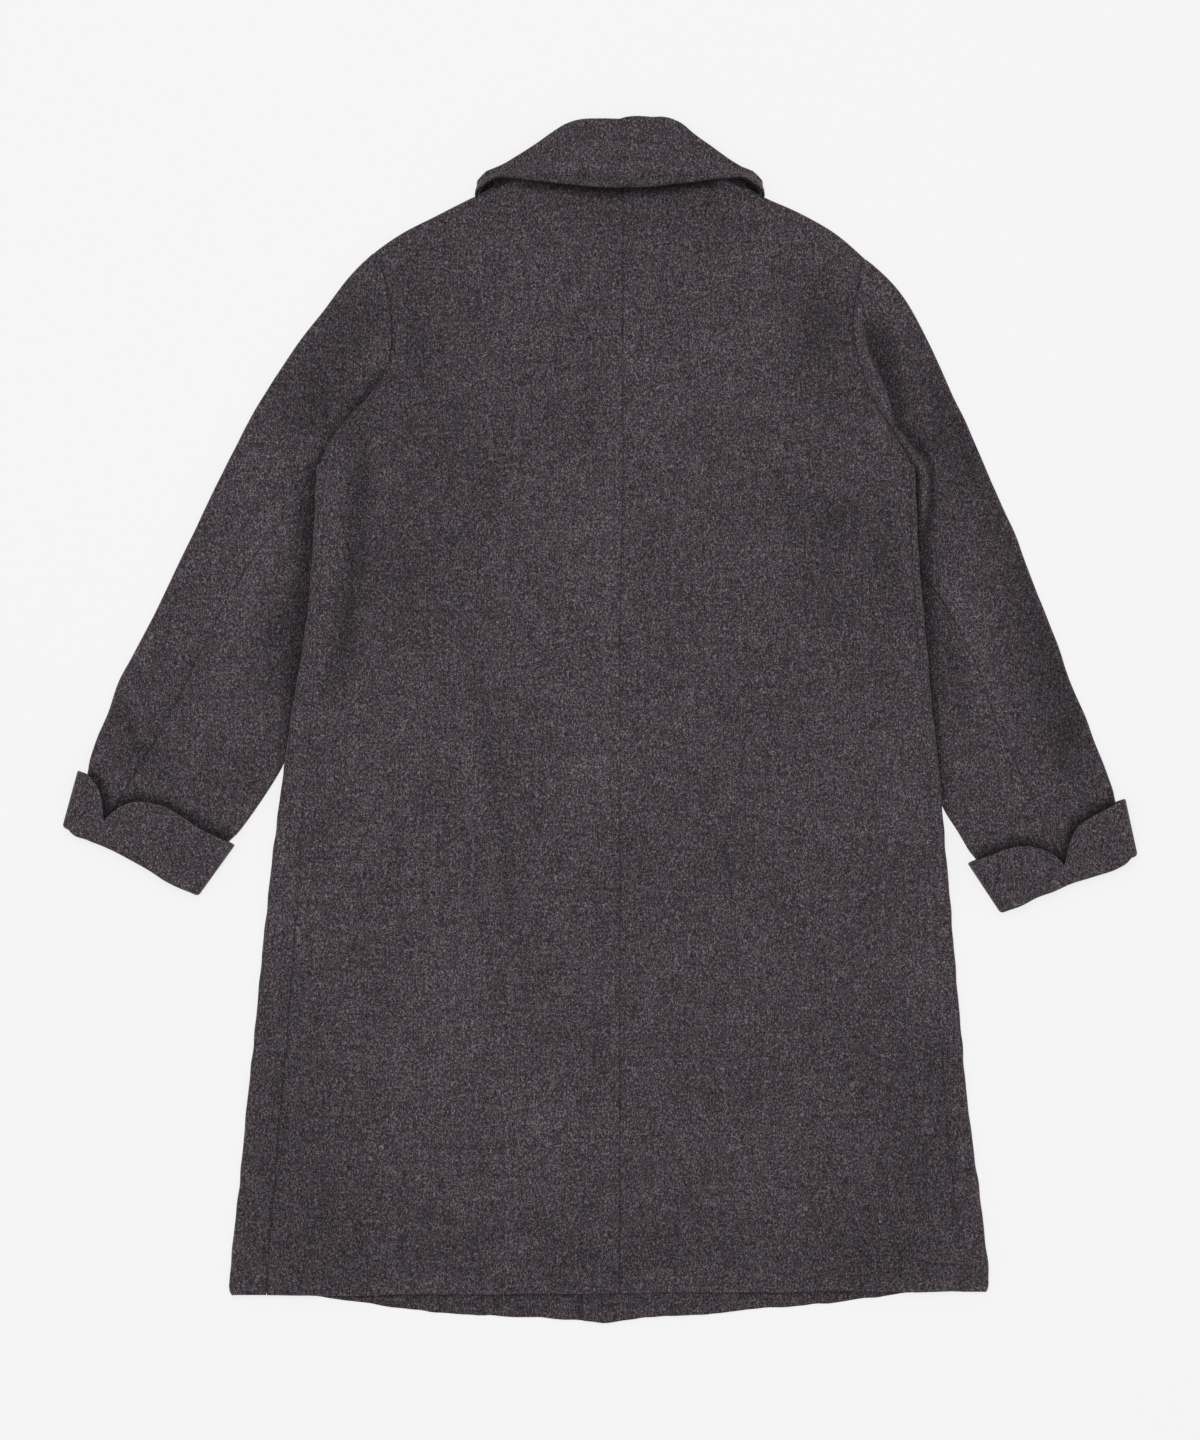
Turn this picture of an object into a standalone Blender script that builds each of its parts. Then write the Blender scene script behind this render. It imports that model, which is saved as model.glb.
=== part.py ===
"""Single-breasted wool coat, laid flat on its front with its back upwards.

The coat lies on the plane z = 0. +Y runs from the hem to the collar and +X to the wearer's right.
Each cut piece of cloth is a wall on a sheet of points, and the sheet is worked out from the coat's
outline in plan and from how high its layer lies. Sizes are in millimetres until a sheet is made a mesh.
"""

from math import pi

import bmesh
import bpy
import numpy as np

MM = 0.001
SAME_POINT = 0.01    # points nearer than this are one
SHARP = pi / 5       # an edge with a larger bend is shaded sharp

# Cloth and layers
CLOTH = 2.4          # body and sleeve cloth
COLLAR_CLOTH = 3.0   # collar, two layers sewn together
CUFF_CLOTH = 3.0     # turn-back cuff
SEAM = 0.4           # gap between two pieces that are sewn together
LAYER_GAP = 0.3      # gap between a piece and one that lies on it
NECK_SEAM = 0.9      # gap between the collar and the neck edge, which are curved
FOLD = 3.0           # radius of a fold, at the middle of the cloth
LAYERS_APART = 2 * FOLD
RIM = FOLD + CLOTH / 2   # from a fold's axis to the outline

# Body
CENTRE = 19.0        # centre back and centre front
CENTRE_AT_NECK = 22.0
CENTRE_BEND = (80.0, 250.0)  # the centre back seam moves over between these heights
OVERLAP = 35.0       # each front runs past the centre by this much
OVERLAP_RAMP = (32.0, 90.0)  # past the lower front's edge, the upper one comes down over this stretch
UNDERARM = 244.0
BACK_HEM = -550.0
HEM_SLOPE = 0.007    # the hem lies a little lower on the wearer's left
FRONT_DROP = 28.5    # the fronts hang below the back by this much at the centre
FRONT_DROP_WIDTH = 300.0
FRONT_DROP_POWER = 0.7
FRONT_LOWEST = 4.0   # where the fronts hang lowest
NECK_HALF = 105.0
NECK_SIDE = 517.0
BACK_NECK = 540.0
FRONT_NECK = 452.0
SHOULDER_TURN = 1.5  # the back's cloth runs this far past the shoulder fold

# Buttons
BUTTON_RADIUS = 14.0
BUTTON_THICK = 3.0
BUTTON_RIM = 3.0     # width of the flat rim round the dish
BUTTON_DISH = 0.8    # depth of the dish
BUTTON_ROUND = 1.0   # rounding of its edges
BUTTON_TOP = 373.0
BUTTON_STEP = 125.0
BUTTONS = 4

# Heights that the layers underneath give
NECK_LIFT = 4.0      # the collar's front lies under the fronts
NECK_OVAL = (150.0, 125.0)   # half width and half height of the part of the fronts that it raises
NECK_FADE = 1.5      # the rise has gone at this many times the oval
BLEND = 6            # power of the mean that blends the rises, so that the highest one leads
TUCK_LIFT = 8.8      # a sleeve's inner edge lies under the body's side
TUCK_WIDTH = (36.0, 90.0)    # raised in full this far in from the side, and not at all from there
BUTTON_LIFT = 3.3
BUTTON_WIDTH = (55.0, 100.0)  # the same, out from the centre, above the top button and below the last one
BUTTON_ABOVE = (25.0, 70.0)
BUTTON_BELOW = (85.0, 170.0)
CUFF_LIFT = 3.3      # the sleeve's end lies inside the cuff
CUFF_RISE = (0.80, 0.88)     # the stretch of the sleeve over which it rises

# Wool and horn, as linear colour and roughness
WOOL = (0.062, 0.052, 0.058, 1.0)
WOOL_ROUGHNESS = 0.95
HORN = (0.030, 0.022, 0.020, 1.0)
HORN_ROUGHNESS = 0.45


def sections(names, *rows):
    """A table: one array for each named column."""
    return dict(zip(names, np.array(rows, float).T))


# The body's side edges and how far the front's cloth runs over the edge on to the back, at heights y
BODY = sections(
    ("y", "left_edge", "right_edge", "left_strip", "right_strip"),
    (-552, -352, 368, 31.5, 21.5),
    (-541, -355, 371.5, 35.5, 26.0),
    (-420, -344, 359, 33.5, 23.0),
    (-300, -331.5, 346, 31.5, 19.0),
    (-180, -318.5, 335.5, 27.5, 14.0),
    (-60, -304, 325, 21.5, 9.0),
    (35, -290, 315.5, 15.5, 7.0),
    (110, -279, 309, 10.0, 6.0),
    (175, -273.5, 304, 7.5, 5.0),
    (UNDERARM, -271, 301.5, 5.0, 5.0),
)

# The upper outline from the neck over the shoulder and down the sleeve to the wrist
SHOULDER_ROWS = 5
UPPER_EDGE = {
    "left": sections(
        ("x", "y"),
        (-91, 515.5), (-120, 501), (-155, 484), (-192, 464.5), (-218, 448),
        (-248.5, 418), (-288, 364), (-325, 306), (-368, 223), (-402, 153),
        (-450, 57), (-461, 38), (-483, -20), (-494, -54), (-509, -102),
    ),
    "right": sections(
        ("x", "y"),
        (129, 516.5), (155.5, 501), (193, 484), (226, 465), (257, 441),
        (282, 418), (304, 383), (342, 306), (368, 248), (392, 191),
        (422, 114), (451, 37), (481, -39), (494.5, -75), (510, -124),
    ),
}

# The sleeve's inner edge from the underarm to the wrist, where the body lies on most of it
INNER_EDGE = {
    "left": sections(
        ("x", "y"),
        (-266, 254), (-275.5, 239), (-276, 210), (-270, 178), (-260, 140), (-256, 95),
        (-266, 30), (-298.5, -36), (-326, -78), (-354, -116), (-384, -157),
    ),
    "right": sections(
        ("x", "y"),
        (297, 254), (306.5, 239), (307, 208), (299, 176), (290, 140), (286, 78),
        (293, 18), (309, -44), (330, -89), (358, -135), (386.5, -173),
    ),
}

# The armhole seam between the shoulder and the underarm
ARMHOLE = {
    "left": sections(
        ("x", "y"),
        (-207, 424), (-201.5, 392.5), (-200.5, 359), (-205, 327),
        (-221, 301), (-246, 274), (-266, UNDERARM + 2),
    ),
    "right": sections(
        ("x", "y"),
        (248, 414), (243, 388), (244.5, 366), (252, 334),
        (263, 304), (279, 276), (296.5, UNDERARM + 2),
    ),
}

# The heights between which a sleeve lies under the body: start, full, full, end
TUCK = {"left": (246, 212, -60, -150), "right": (243, 210, -110, -200)}

# The sleeve's back seam, as a share of the width from the outer edge, along the sleeve
SLEEVE_SEAM = {
    "left": sections(
        ("along", "across"),
        (0, 0.875), (0.16, 0.795), (0.36, 0.55), (0.51, 0.355),
        (0.66, 0.308), (0.775, 0.318), (0.94, 0.24), (1, 0.2),
    ),
    "right": sections(
        ("along", "across"),
        (0, 0.875), (0.1, 0.82), (0.24, 0.82), (0.37, 0.86),
        (0.505, 0.62), (0.61, 0.525), (0.71, 0.505), (1, 0.49),
    ),
}
# The share of the inner edge that a section of the sleeve reaches, by its share of the outer edge
SLEEVE_PACE = sections(
    ("outer", "inner"),
    (0, 0), (0.08, 0.04), (0.16, 0.08), (0.32, 0.19), (0.5, 0.39), (1, 1),
)
CAP_REACH = 0.24     # the armhole's curve has died out of the sections here
CAP_DECAY = 5.0      # it dies out faster at the inner fold, by this much, with the power below
CAP_DECAY_POWER = 4
CAP_GAP = (0.1, 0.35)  # the back seam's gap is twice as wide before this stretch as after it
FOREARM_SEAM = 0.75  # the sleeve's front seam, on the side that lies down

# Cuff corners in plan, and the notch in its edge at the sleeve's back seam
CUFF = {
    "left": {
        "fold": ((-516, -106), (-386, -169)), "edge": ((-500.5, -49.5), (-351, -120.5)),
        "notch": 0.235, "notch_half": 0.27, "notch_depth": 0.60,
    },
    "right": {
        "fold": ((516, -134), (385, -185.5)), "edge": ((503.5, -76.5), (353.5, -138)),
        "notch": 0.485, "notch_half": 0.31, "notch_depth": 0.64,
    },
}
NOTCH_ROUND = 2.2    # power of the notch's rounded sides

# The collar's lines, by the share of its half width from the centre to the side
COLLAR_HALF = 135.5
STAND_HALF = 119.0
COLLAR = sections(
    ("share", "back_roll", "back_edge", "front_roll", "front_edge"),
    (0.00, 576.0, 505.0, 475, 400),
    (0.17, 577.5, 505.5, 476, 400),
    (0.32, 576.5, 507.5, 479, 405),
    (0.405, 572.5, 509.0, 482, 411),
    (0.49, 565.0, 511.0, 486, 418),
    (0.64, 551.5, 514.5, 497, 432),
    (0.78, 541.0, 517.5, 510, 452),
    (0.90, 531.5, 517.0, 522, 476),
    (1.00, 527.0, 511.0, 526, 503),
)
COLLAR_END = 2.0     # from the centre front to each end of the collar
ROLL_REACH = 4.0     # how far the roll stands past its two layers
ROLL_DIP = 6.0       # the roll line and the neck seam sink by these at the two sides
SEAM_DIP = 3.0


# Numbers and plan curves

def ramp(value, start, end):
    """0 at start and 1 at end, with a smooth rise between."""
    share = np.clip((value - start) / (end - start), 0, 1)
    return share * share * (3 - 2 * share)


def smooth(value, xs, ys):
    """The height at value of a cubic curve through (xs, ys), with slopes taken from the neighbours."""
    slopes = np.gradient(ys, xs)
    left = np.clip(np.searchsorted(xs, value) - 1, 0, len(xs) - 2)
    width = xs[left + 1] - xs[left]
    share = np.clip((value - xs[left]) / width, 0, 1)
    rise = share * share * (3 - 2 * share)
    bend = share * (1 - share)
    start_pull = bend * (1 - share) * slopes[left] * width
    end_pull = bend * share * slopes[left + 1] * width
    return ys[left] + (ys[left + 1] - ys[left]) * rise + start_pull - end_pull


def path(points, share):
    """Points at these shares of the length of a smooth curve through the given ones."""
    steps = np.linalg.norm(np.diff(points, axis=0), axis=1)
    reached = np.concatenate([[0], np.cumsum(steps)]) / steps.sum()
    return np.stack([smooth(share, reached, points[:, axis]) for axis in (0, 1)], -1)


def plan(table):
    return np.stack([table["x"], table["y"]], -1)


def normals(points):
    """Unit vectors to the left of the way along a row of points."""
    way = np.gradient(points, axis=0)
    across = np.stack([-way[:, 1], way[:, 0]], -1)
    return across / np.linalg.norm(across, axis=-1, keepdims=True)


def patch(inner, outer, bottom, top):
    """A sheet between four rows of points that meet at its corners: a Coons patch, [row, column]."""
    v, u = np.meshgrid(np.linspace(0, 1, len(inner)), np.linspace(0, 1, len(bottom)), indexing="ij")
    v, u = v[..., None], u[..., None]
    ruled = (1 - u) * inner[:, None] + u * outer[:, None] + (1 - v) * bottom + v * top
    corners = (1 - v) * ((1 - u) * bottom[0] + u * bottom[-1]) + v * ((1 - u) * top[0] + u * top[-1])
    return ruled - corners


def facing(side):
    """-1 on the wearer's left, which is -X, and 1 on the right."""
    return -1 if side == "left" else 1


# Heights of the layers, at the middle of the cloth

def edge_of(side, y):
    return smooth(y, BODY["y"], BODY[side + "_edge"])


def lift(x, y):
    """How far what lies underneath raises the front: collar, tucked sleeves and buttons, blended."""
    from_neck = np.hypot((x - CENTRE) / NECK_OVAL[0], (y - NECK_SIDE) / NECK_OVAL[1])
    heights = [NECK_LIFT * (1 - ramp(from_neck, 1, NECK_FADE))]
    for side, (start, full, last, end) in TUCK.items():
        inside = facing(side) * (edge_of(side, y) - x)
        along = ramp(y, start, full) * (1 - ramp(-y, -last, -end))
        heights.append(TUCK_LIFT * along * (1 - ramp(inside, *TUCK_WIDTH)))
    below = BUTTON_TOP - (BUTTONS - 1) * BUTTON_STEP - y
    above = y - BUTTON_TOP
    at_buttons = (1 - ramp(below, *BUTTON_BELOW)) * (1 - ramp(above, *BUTTON_ABOVE))
    heights.append(BUTTON_LIFT * at_buttons * (1 - ramp(abs(x - CENTRE), *BUTTON_WIDTH)))
    return sum(height ** BLEND for height in heights) ** (1 / BLEND)


def front_height(x, y, over=0.0):
    """over is 1 on the front that lies on the other one, as far as the other one's edge."""
    past_edge = x - CENTRE - OVERLAP
    laid_on = over * (CLOTH + SEAM) * (1 - ramp(past_edge, *OVERLAP_RAMP))
    return CLOTH / 2 + lift(x, y) + laid_on


def back_height(x, y):
    return CLOTH / 2 + LAYERS_APART + lift(x, y)


def raised(points, height):
    return np.concatenate([points, height(points[..., 0], points[..., 1])[..., None]], -1)


def rolled(axis, outward, bottom, top, turns):
    """A half turn of cloth about a fold. turns runs from 0 at the top layer to 1 at the bottom one."""
    radius = (top - bottom)[:, None] / 2
    angle = pi * turns[None, :]
    flat = axis[:, None] + outward[:, None] * (radius * np.sin(angle))[..., None]
    return np.concatenate([flat, (bottom[:, None] + radius * (1 + np.cos(angle)))[..., None]], -1)


# Outlines of the panels in plan

LOW_ROWS = np.array([0, 0.015, 0.14, 0.30, 0.46, 0.60, 0.70, 0.80, 0.90, 0.96, 1])
ARM_ROWS = np.linspace(0, 1, 9)
NECK_COLUMNS, SHOULDER_COLUMNS = 8, 5
TURNS = np.linspace(0, 1, 5)
SLEEVE_ROWS = np.array([0, 0.08, 0.16, 0.24, 0.34, 0.44, 0.54, 0.64, 0.74, 0.81, 0.88, 1])
SLEEVE_WIDTH = 150.0


def upper_axis(side):
    """The fold's axis under the upper outline, and the share of its length at the shoulder point."""
    edge = plan(UPPER_EDGE[side])
    axis = edge - facing(side) * RIM * normals(edge)
    steps = np.linalg.norm(np.diff(axis, axis=0), axis=1)
    return axis, steps[:SHOULDER_ROWS - 1].sum() / steps.sum()


def armhole(side, share):
    """The armhole seam from the underarm, at share 0, to the shoulder fold, at share 1."""
    axis, at_shoulder = upper_axis(side)
    seam = np.concatenate([path(axis, np.array([at_shoulder])), plan(ARMHOLE[side])])
    return path(seam[::-1], share)


def neck(x, lowest):
    """The neck edge of the back or of a front."""
    return lowest + (NECK_SIDE - lowest) * np.minimum(abs(x - CENTRE) / NECK_HALF, 1) ** 2


def shoulder(side, count, inset):
    """Points from the neck to the shoulder point, inset from the fold's axis."""
    axis, at_shoulder = upper_axis(side)
    points = path(axis, np.linspace(0, at_shoulder, count + 1))
    return points + facing(side) * -inset * normals(points)


def neck_and_shoulder(side, start, lowest, inset):
    """The top edge of a panel, from the centre or the front edge to the shoulder point."""
    along = shoulder(side, SHOULDER_COLUMNS, inset)
    x = np.linspace(start, along[0, 0], NECK_COLUMNS + 1)[:-1]
    return np.concatenate([np.stack([x, neck(x, lowest)], -1), along])


def row_between(start, end, count):
    return start + (end - start) * np.linspace(0, 1, count)[:, None]


def body_patch(side, inner_x, outer_x, hem, top):
    """A panel in plan: below the underarm, and above it as far as the armhole. [row, column, 2]"""
    columns = len(top)
    low_y = BACK_HEM + (UNDERARM - BACK_HEM) * LOW_ROWS
    inner = np.stack([inner_x(low_y), low_y], -1)
    outer = np.stack([outer_x(low_y), low_y], -1)
    bottom = row_between(inner[0], outer[0], columns)
    bottom[:, 1] = hem(bottom[:, 0])
    inner[:, 1] += (bottom[0, 1] - BACK_HEM) * (1 - LOW_ROWS)
    outer[:, 1] += (bottom[-1, 1] - BACK_HEM) * (1 - LOW_ROWS)
    arm = armhole(side, ARM_ROWS)
    arm[0], arm[-1] = outer[-1], top[-1]
    across = row_between(inner[-1], outer[-1], columns)
    low = patch(inner, outer, bottom, across)
    centre_y = UNDERARM + (top[0, 1] - UNDERARM) * ARM_ROWS
    high = patch(np.stack([inner_x(centre_y), centre_y], -1), arm, across, top)
    return np.concatenate([low, high[1:]])


# Meshes and materials

def finish_of(name, colour, roughness):
    material = bpy.data.materials.new(name)
    material.use_nodes = True
    shader = material.node_tree.nodes["Principled BSDF"]
    shader.inputs["Base Color"].default_value = colour
    shader.inputs["Roughness"].default_value = roughness
    shader.inputs["Metallic"].default_value = 0.0
    return material


def add_object(name, form, material):
    mesh = bpy.data.meshes.new(name)
    form.to_mesh(mesh)
    form.free()
    mesh.shade_smooth()
    mesh.set_sharp_from_angle(angle=SHARP)
    mesh.materials.append(material)
    obj = bpy.data.objects.new(name, mesh)
    bpy.context.scene.collection.objects.link(obj)
    return obj


def add_cloth(name, sheet, thickness, material, closed=False, missing=None):
    """A wall on a sheet of points [row, column, 3]. missing marks squares that the piece hasn't got."""
    rows, columns = sheet.shape[:2]
    form = bmesh.new()
    points = [[form.verts.new(point * MM) for point in row] for row in sheet]
    for r in range(rows - 1):
        for c in range(columns if closed else columns - 1):
            if missing is None or not missing[r, c]:
                n = (c + 1) % columns
                form.faces.new((points[r][c], points[r][n], points[r + 1][n], points[r + 1][c]))
    bmesh.ops.delete(form, geom=[v for v in form.verts if not v.link_faces], context="VERTS")
    obj = add_object(name, form, material)
    thick = obj.modifiers.new("Cloth", "SOLIDIFY")
    thick.thickness = thickness * MM
    thick.offset = 0.0
    thick.use_even_offset = True
    return obj


# Pieces

def hem_of_back(x):
    return BACK_HEM + HEM_SLOPE * (x - CENTRE)


def hem_of_front(x):
    """The fronts hang lowest at the centre and meet the back's hem near the sides."""
    share = np.clip(1 - abs(x - FRONT_LOWEST) / FRONT_DROP_WIDTH, 0, 1)
    return hem_of_back(x) - FRONT_DROP * share ** FRONT_DROP_POWER


def centre_line(y):
    return CENTRE + (CENTRE_AT_NECK - CENTRE) * ramp(y, *CENTRE_BEND)


def side_seam(side, y):
    """Where the front's strip over the edge meets the back."""
    return edge_of(side, y) - facing(side) * smooth(y, BODY["y"], BODY[side + "_strip"])


def add_back(side, material):
    """Centre back to side seam and armhole, and round the shoulder fold to its far side."""
    way = facing(side)
    top = neck_and_shoulder(side, centre_line(BACK_NECK) + way * SEAM / 2, BACK_NECK, 0)
    flat = body_patch(
        side,
        lambda y: centre_line(y) + way * SEAM / 2,
        lambda y: side_seam(side, y) - way * SEAM,
        hem_of_back,
        top,
    )
    sheet = raised(flat, back_height)
    last = sheet[-1]
    bottom = last[:, 2] - LAYERS_APART
    outward = way * normals(flat[-1])
    turn = rolled(flat[-1], outward, bottom, last[:, 2], TURNS[1:]).transpose(1, 0, 2)
    tail = np.concatenate([flat[-1] - SHOULDER_TURN * outward, bottom[:, None]], -1)
    sheet = np.concatenate([sheet, turn, tail[None]])
    missing = np.zeros(sheet.shape[:2], bool)
    missing[len(flat) - 1:, :NECK_COLUMNS] = True
    return add_cloth("back_" + side, sheet, CLOTH, material, missing=missing)


def add_front(side, over, material):
    """Front edge to the side fold, round it and on to the back as far as the side seam."""
    way = facing(side)
    top = neck_and_shoulder(side, CENTRE - way * OVERLAP, FRONT_NECK, SHOULDER_TURN + SEAM)
    flat = body_patch(
        side,
        lambda y: np.full_like(y, CENTRE - way * OVERLAP),
        lambda y: edge_of(side, y) - way * RIM,
        hem_of_front,
        top,
    )
    sheet = raised(flat, lambda x, y: front_height(x, y, over))
    rows = len(LOW_ROWS)
    axis = flat[:rows, -1]
    bottom = sheet[:rows, -1, 2]
    outward = np.tile([float(way), 0.0], (rows, 1))
    turn = rolled(axis, outward, bottom, bottom + LAYERS_APART, TURNS[::-1][1:])
    seam = np.stack([side_seam(side, axis[:, 1]), axis[:, 1]], -1)
    strip = axis[:, None] + (seam - axis)[:, None] * np.array([0.5, 1.0])[None, :, None]
    strip = raised(strip, back_height)
    beyond = np.concatenate([turn, strip], 1)
    above = np.repeat(sheet[rows:, -1:], beyond.shape[1], 1)
    sheet = np.concatenate([sheet, np.concatenate([beyond, above])], 1)
    missing = np.zeros(sheet.shape[:2], bool)
    missing[rows - 1:, flat.shape[1] - 1:] = True
    return add_cloth("front_" + side, sheet, CLOTH, material, missing=missing)


def sleeve_point(side, across, along):
    """Plan points of a sleeve, across from its outer fold to its inner one and along to the wrist.

    Each section is a straight line between the two fold axes. Near the armhole it takes on that seam's
    curve.
    """
    upper, at_shoulder = upper_axis(side)
    edge = plan(INNER_EDGE[side])
    inner_axis = edge + facing(side) * RIM * normals(edge)
    seam = armhole(side, ARM_ROWS[::-1])
    cap = seam + facing(side) * SEAM * normals(seam)
    cap[-1] = inner_axis[0]
    a, t = across[..., None], along[..., None]
    outer = path(upper, at_shoulder + (1 - at_shoulder) * along) + (1 - t) * (cap[0] - seam[0])
    inner = path(inner_axis, smooth(along, SLEEVE_PACE["outer"], SLEEVE_PACE["inner"]))
    at_cap = np.stack([np.interp(across, ARM_ROWS, cap[:, axis]) for axis in (0, 1)], -1)
    straight = (1 - a) * cap[0] + a * cap[-1]
    curve_left = np.maximum(1 - t / CAP_REACH, 0) ** (1 + CAP_DECAY * a ** CAP_DECAY_POWER)
    return (1 - a) * outer + a * inner + curve_left * (at_cap - straight)


def sleeve_heights(along):
    """The bottom and top layer of a sleeve, raised inside the cuff."""
    bottom = CLOTH / 2 + CUFF_LIFT * ramp(along, *CUFF_RISE)
    return bottom, bottom + LAYERS_APART


def add_sleeve(side, material):
    """The top sleeve from the back seam round the outer fold, and the under sleeve round the inner one."""
    along = SLEEVE_ROWS
    bottom, top = sleeve_heights(along)

    def face(start, end, columns, height):
        across = start + (end - start) * np.linspace(0, 1, columns)
        spread = np.broadcast_to(along[:, None], across.shape)
        flat = sleeve_point(side, across, spread)
        return np.concatenate([flat, np.broadcast_to(height[:, None, None], flat.shape[:2] + (1,))], -1)

    def fold(across, turns):
        axis = sleeve_point(side, np.full_like(along, across), along)
        outward = facing(side) * (1 - 2 * across) * normals(axis)
        return rolled(axis, outward, bottom, top, turns)

    table = SLEEVE_SEAM[side]
    back_seam = smooth(along, table["along"], table["across"])[:, None]
    front_seam = np.full_like(back_seam, FOREARM_SEAM)
    gap = SEAM / 2 / SLEEVE_WIDTH * (2 - ramp(along, *CAP_GAP))[:, None]
    outer, inner = np.zeros_like(back_seam), np.ones_like(back_seam)
    upper = (
        face(back_seam - gap, outer, 8, top),
        fold(0, TURNS[1:-1]),
        face(outer, front_seam - gap, 7, bottom),
    )
    under = (
        face(front_seam + gap, inner, 3, bottom),
        fold(1, TURNS[::-1][1:-1]),
        face(inner, back_seam + gap, 3, top),
    )
    add_cloth("sleeve_" + side + "_top", np.concatenate(upper, 1), CLOTH, material)
    add_cloth("sleeve_" + side + "_under", np.concatenate(under, 1), CLOTH, material)


def add_cuff(side, material):
    """A turned-back band round the sleeve's end, with a notch in its free edge at the back seam."""
    cut = CUFF[side]
    fold_outer, fold_inner = np.array(cut["fold"])
    edge_outer, edge_inner = np.array(cut["edge"])
    way = (fold_inner - fold_outer) / np.linalg.norm(fold_inner - fold_outer)
    radius = FOLD + CLOTH / 2 + LAYER_GAP + CUFF_CLOTH / 2
    inset = way * (radius + CUFF_CLOTH / 2)
    bottom = CUFF_CLOTH / 2

    shown = np.concatenate([np.linspace(1, cut["notch"], 9)[:-1], np.linspace(cut["notch"], 0, 7)])
    hidden = np.linspace(0, 1, 6)
    turns = TURNS[1:-1]
    share = np.concatenate([shown, 0 * turns, hidden, 0 * turns + 1])
    turn = np.concatenate([0 * shown, turns, 0 * hidden + 1, turns[::-1]])
    out = radius * np.sin(pi * turn) * np.where(share < 0.5, -1, 1)
    off_notch = np.minimum(abs(share - cut["notch"]) / cut["notch_half"], 1)
    height = 1 - np.where(turn == 0, cut["notch_depth"] * (1 - off_notch) ** NOTCH_ROUND, 0)

    h = (np.linspace(0, 1, 4)[:, None] * height)[..., None]
    a = share[None, :, None]
    outer = (1 - h) * (fold_outer + inset) + h * (edge_outer + inset)
    inner = (1 - h) * (fold_inner - inset) + h * (edge_inner - inset)
    flat = (1 - a) * outer + a * inner + out[None, :, None] * way
    z = np.broadcast_to((bottom + radius * (1 + np.cos(pi * turn)))[None, :, None], flat.shape[:2] + (1,))
    return add_cloth("cuff_" + side, np.concatenate([flat, z], -1), CUFF_CLOTH, material, closed=True)


def collar_ring(way, share, turn, half, front, back):
    """x and z round a flattened ring: share from the centre to the side, turn from the back to the front."""
    radius = (back - front) / 2
    out = (half - radius) * share + radius * np.sin(pi * turn)
    return CENTRE + way * out, front + radius * (1 + np.cos(pi * turn))


def add_collar(material):
    """One band from end to end: up the stand from the neck seam, over the roll line and down to its edge."""
    ends = COLLAR_END / STAND_HALF
    front = np.linspace(ends, 1, 9)
    turns = TURNS[::-1][1:-1]
    back = np.linspace(1, 0, 9)
    share = np.concatenate([front, 0 * turns + 1, back])
    turn = np.concatenate([0 * front + 1, turns, 0 * back])
    way = np.concatenate([0 * share - 1, 0 * share[:-1] + 1])
    share = np.concatenate([share, share[-2::-1]])
    turn = np.concatenate([turn, turn[-2::-1]])

    layer = CLOTH / 2 + NECK_LIFT
    stand_x, stand_z = collar_ring(way, share, turn, STAND_HALF, layer, layer + LAYERS_APART)
    highest = layer + LAYERS_APART + COLLAR_CLOTH + LAYER_GAP * 2
    fall_x, fall_z = collar_ring(way, share, turn, COLLAR_HALF, COLLAR_CLOTH / 2, highest)

    def line(name):
        at_back = smooth(share, COLLAR["share"], COLLAR["back_" + name])
        at_front = smooth(share, COLLAR["share"], COLLAR["front_" + name])
        return at_back + (at_front - at_back) * turn

    at_side = np.sin(pi * turn)
    seam = neck(stand_x, BACK_NECK + (FRONT_NECK - BACK_NECK) * turn) + NECK_SEAM - SEAM_DIP * at_side
    roll = line("roll") - COLLAR_CLOTH / 2 - ROLL_DIP * at_side
    edge = line("edge")
    stand = np.stack([stand_x, roll, stand_z], -1)
    fall = np.stack([fall_x, roll, fall_z], -1)
    reach = np.minimum(np.linalg.norm(fall - stand, axis=-1) / 2, ROLL_REACH)
    rows = [np.stack([stand_x, seam, stand_z], -1)]
    for angle in np.linspace(0, pi, 5):
        point = (stand + fall) / 2 - (fall - stand) / 2 * np.cos(angle)
        point[:, 1] += reach * (np.sin(angle) - 1)
        rows.append(point)
    for down in (0.5, 1.0):
        point = fall.copy()
        point[:, 1] = (roll - reach) * (1 - down) + edge * down
        rows.append(point)
    return add_cloth("collar", np.array(rows), COLLAR_CLOTH, material)


def add_button(number, material):
    """A dished button under the outer front, its face on the ground: a profile turned about its axis."""
    dish = BUTTON_RADIUS - BUTTON_RIM
    profile = (
        (0, BUTTON_DISH), (dish - BUTTON_ROUND, BUTTON_DISH), (dish, 0),
        (BUTTON_RADIUS - BUTTON_ROUND, 0), (BUTTON_RADIUS, BUTTON_ROUND),
        (BUTTON_RADIUS, BUTTON_THICK - BUTTON_ROUND / 2),
        (BUTTON_RADIUS - BUTTON_ROUND, BUTTON_THICK), (0, BUTTON_THICK),
    )
    form = bmesh.new()
    verts = [form.verts.new((radius * MM, 0, z * MM)) for radius, z in profile]
    edges = [form.edges.new(pair) for pair in zip(verts, verts[1:])]
    bmesh.ops.spin(form, geom=verts + edges, axis=(0, 0, 1), cent=(0, 0, 0), angle=2 * pi, steps=16)
    bmesh.ops.remove_doubles(form, verts=form.verts, dist=SAME_POINT * MM)
    bmesh.ops.recalc_face_normals(form, faces=form.faces)
    obj = add_object("button_%d" % (number + 1), form, material)
    obj.location = (CENTRE * MM, (BUTTON_TOP - number * BUTTON_STEP) * MM, 0)
    return obj


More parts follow.
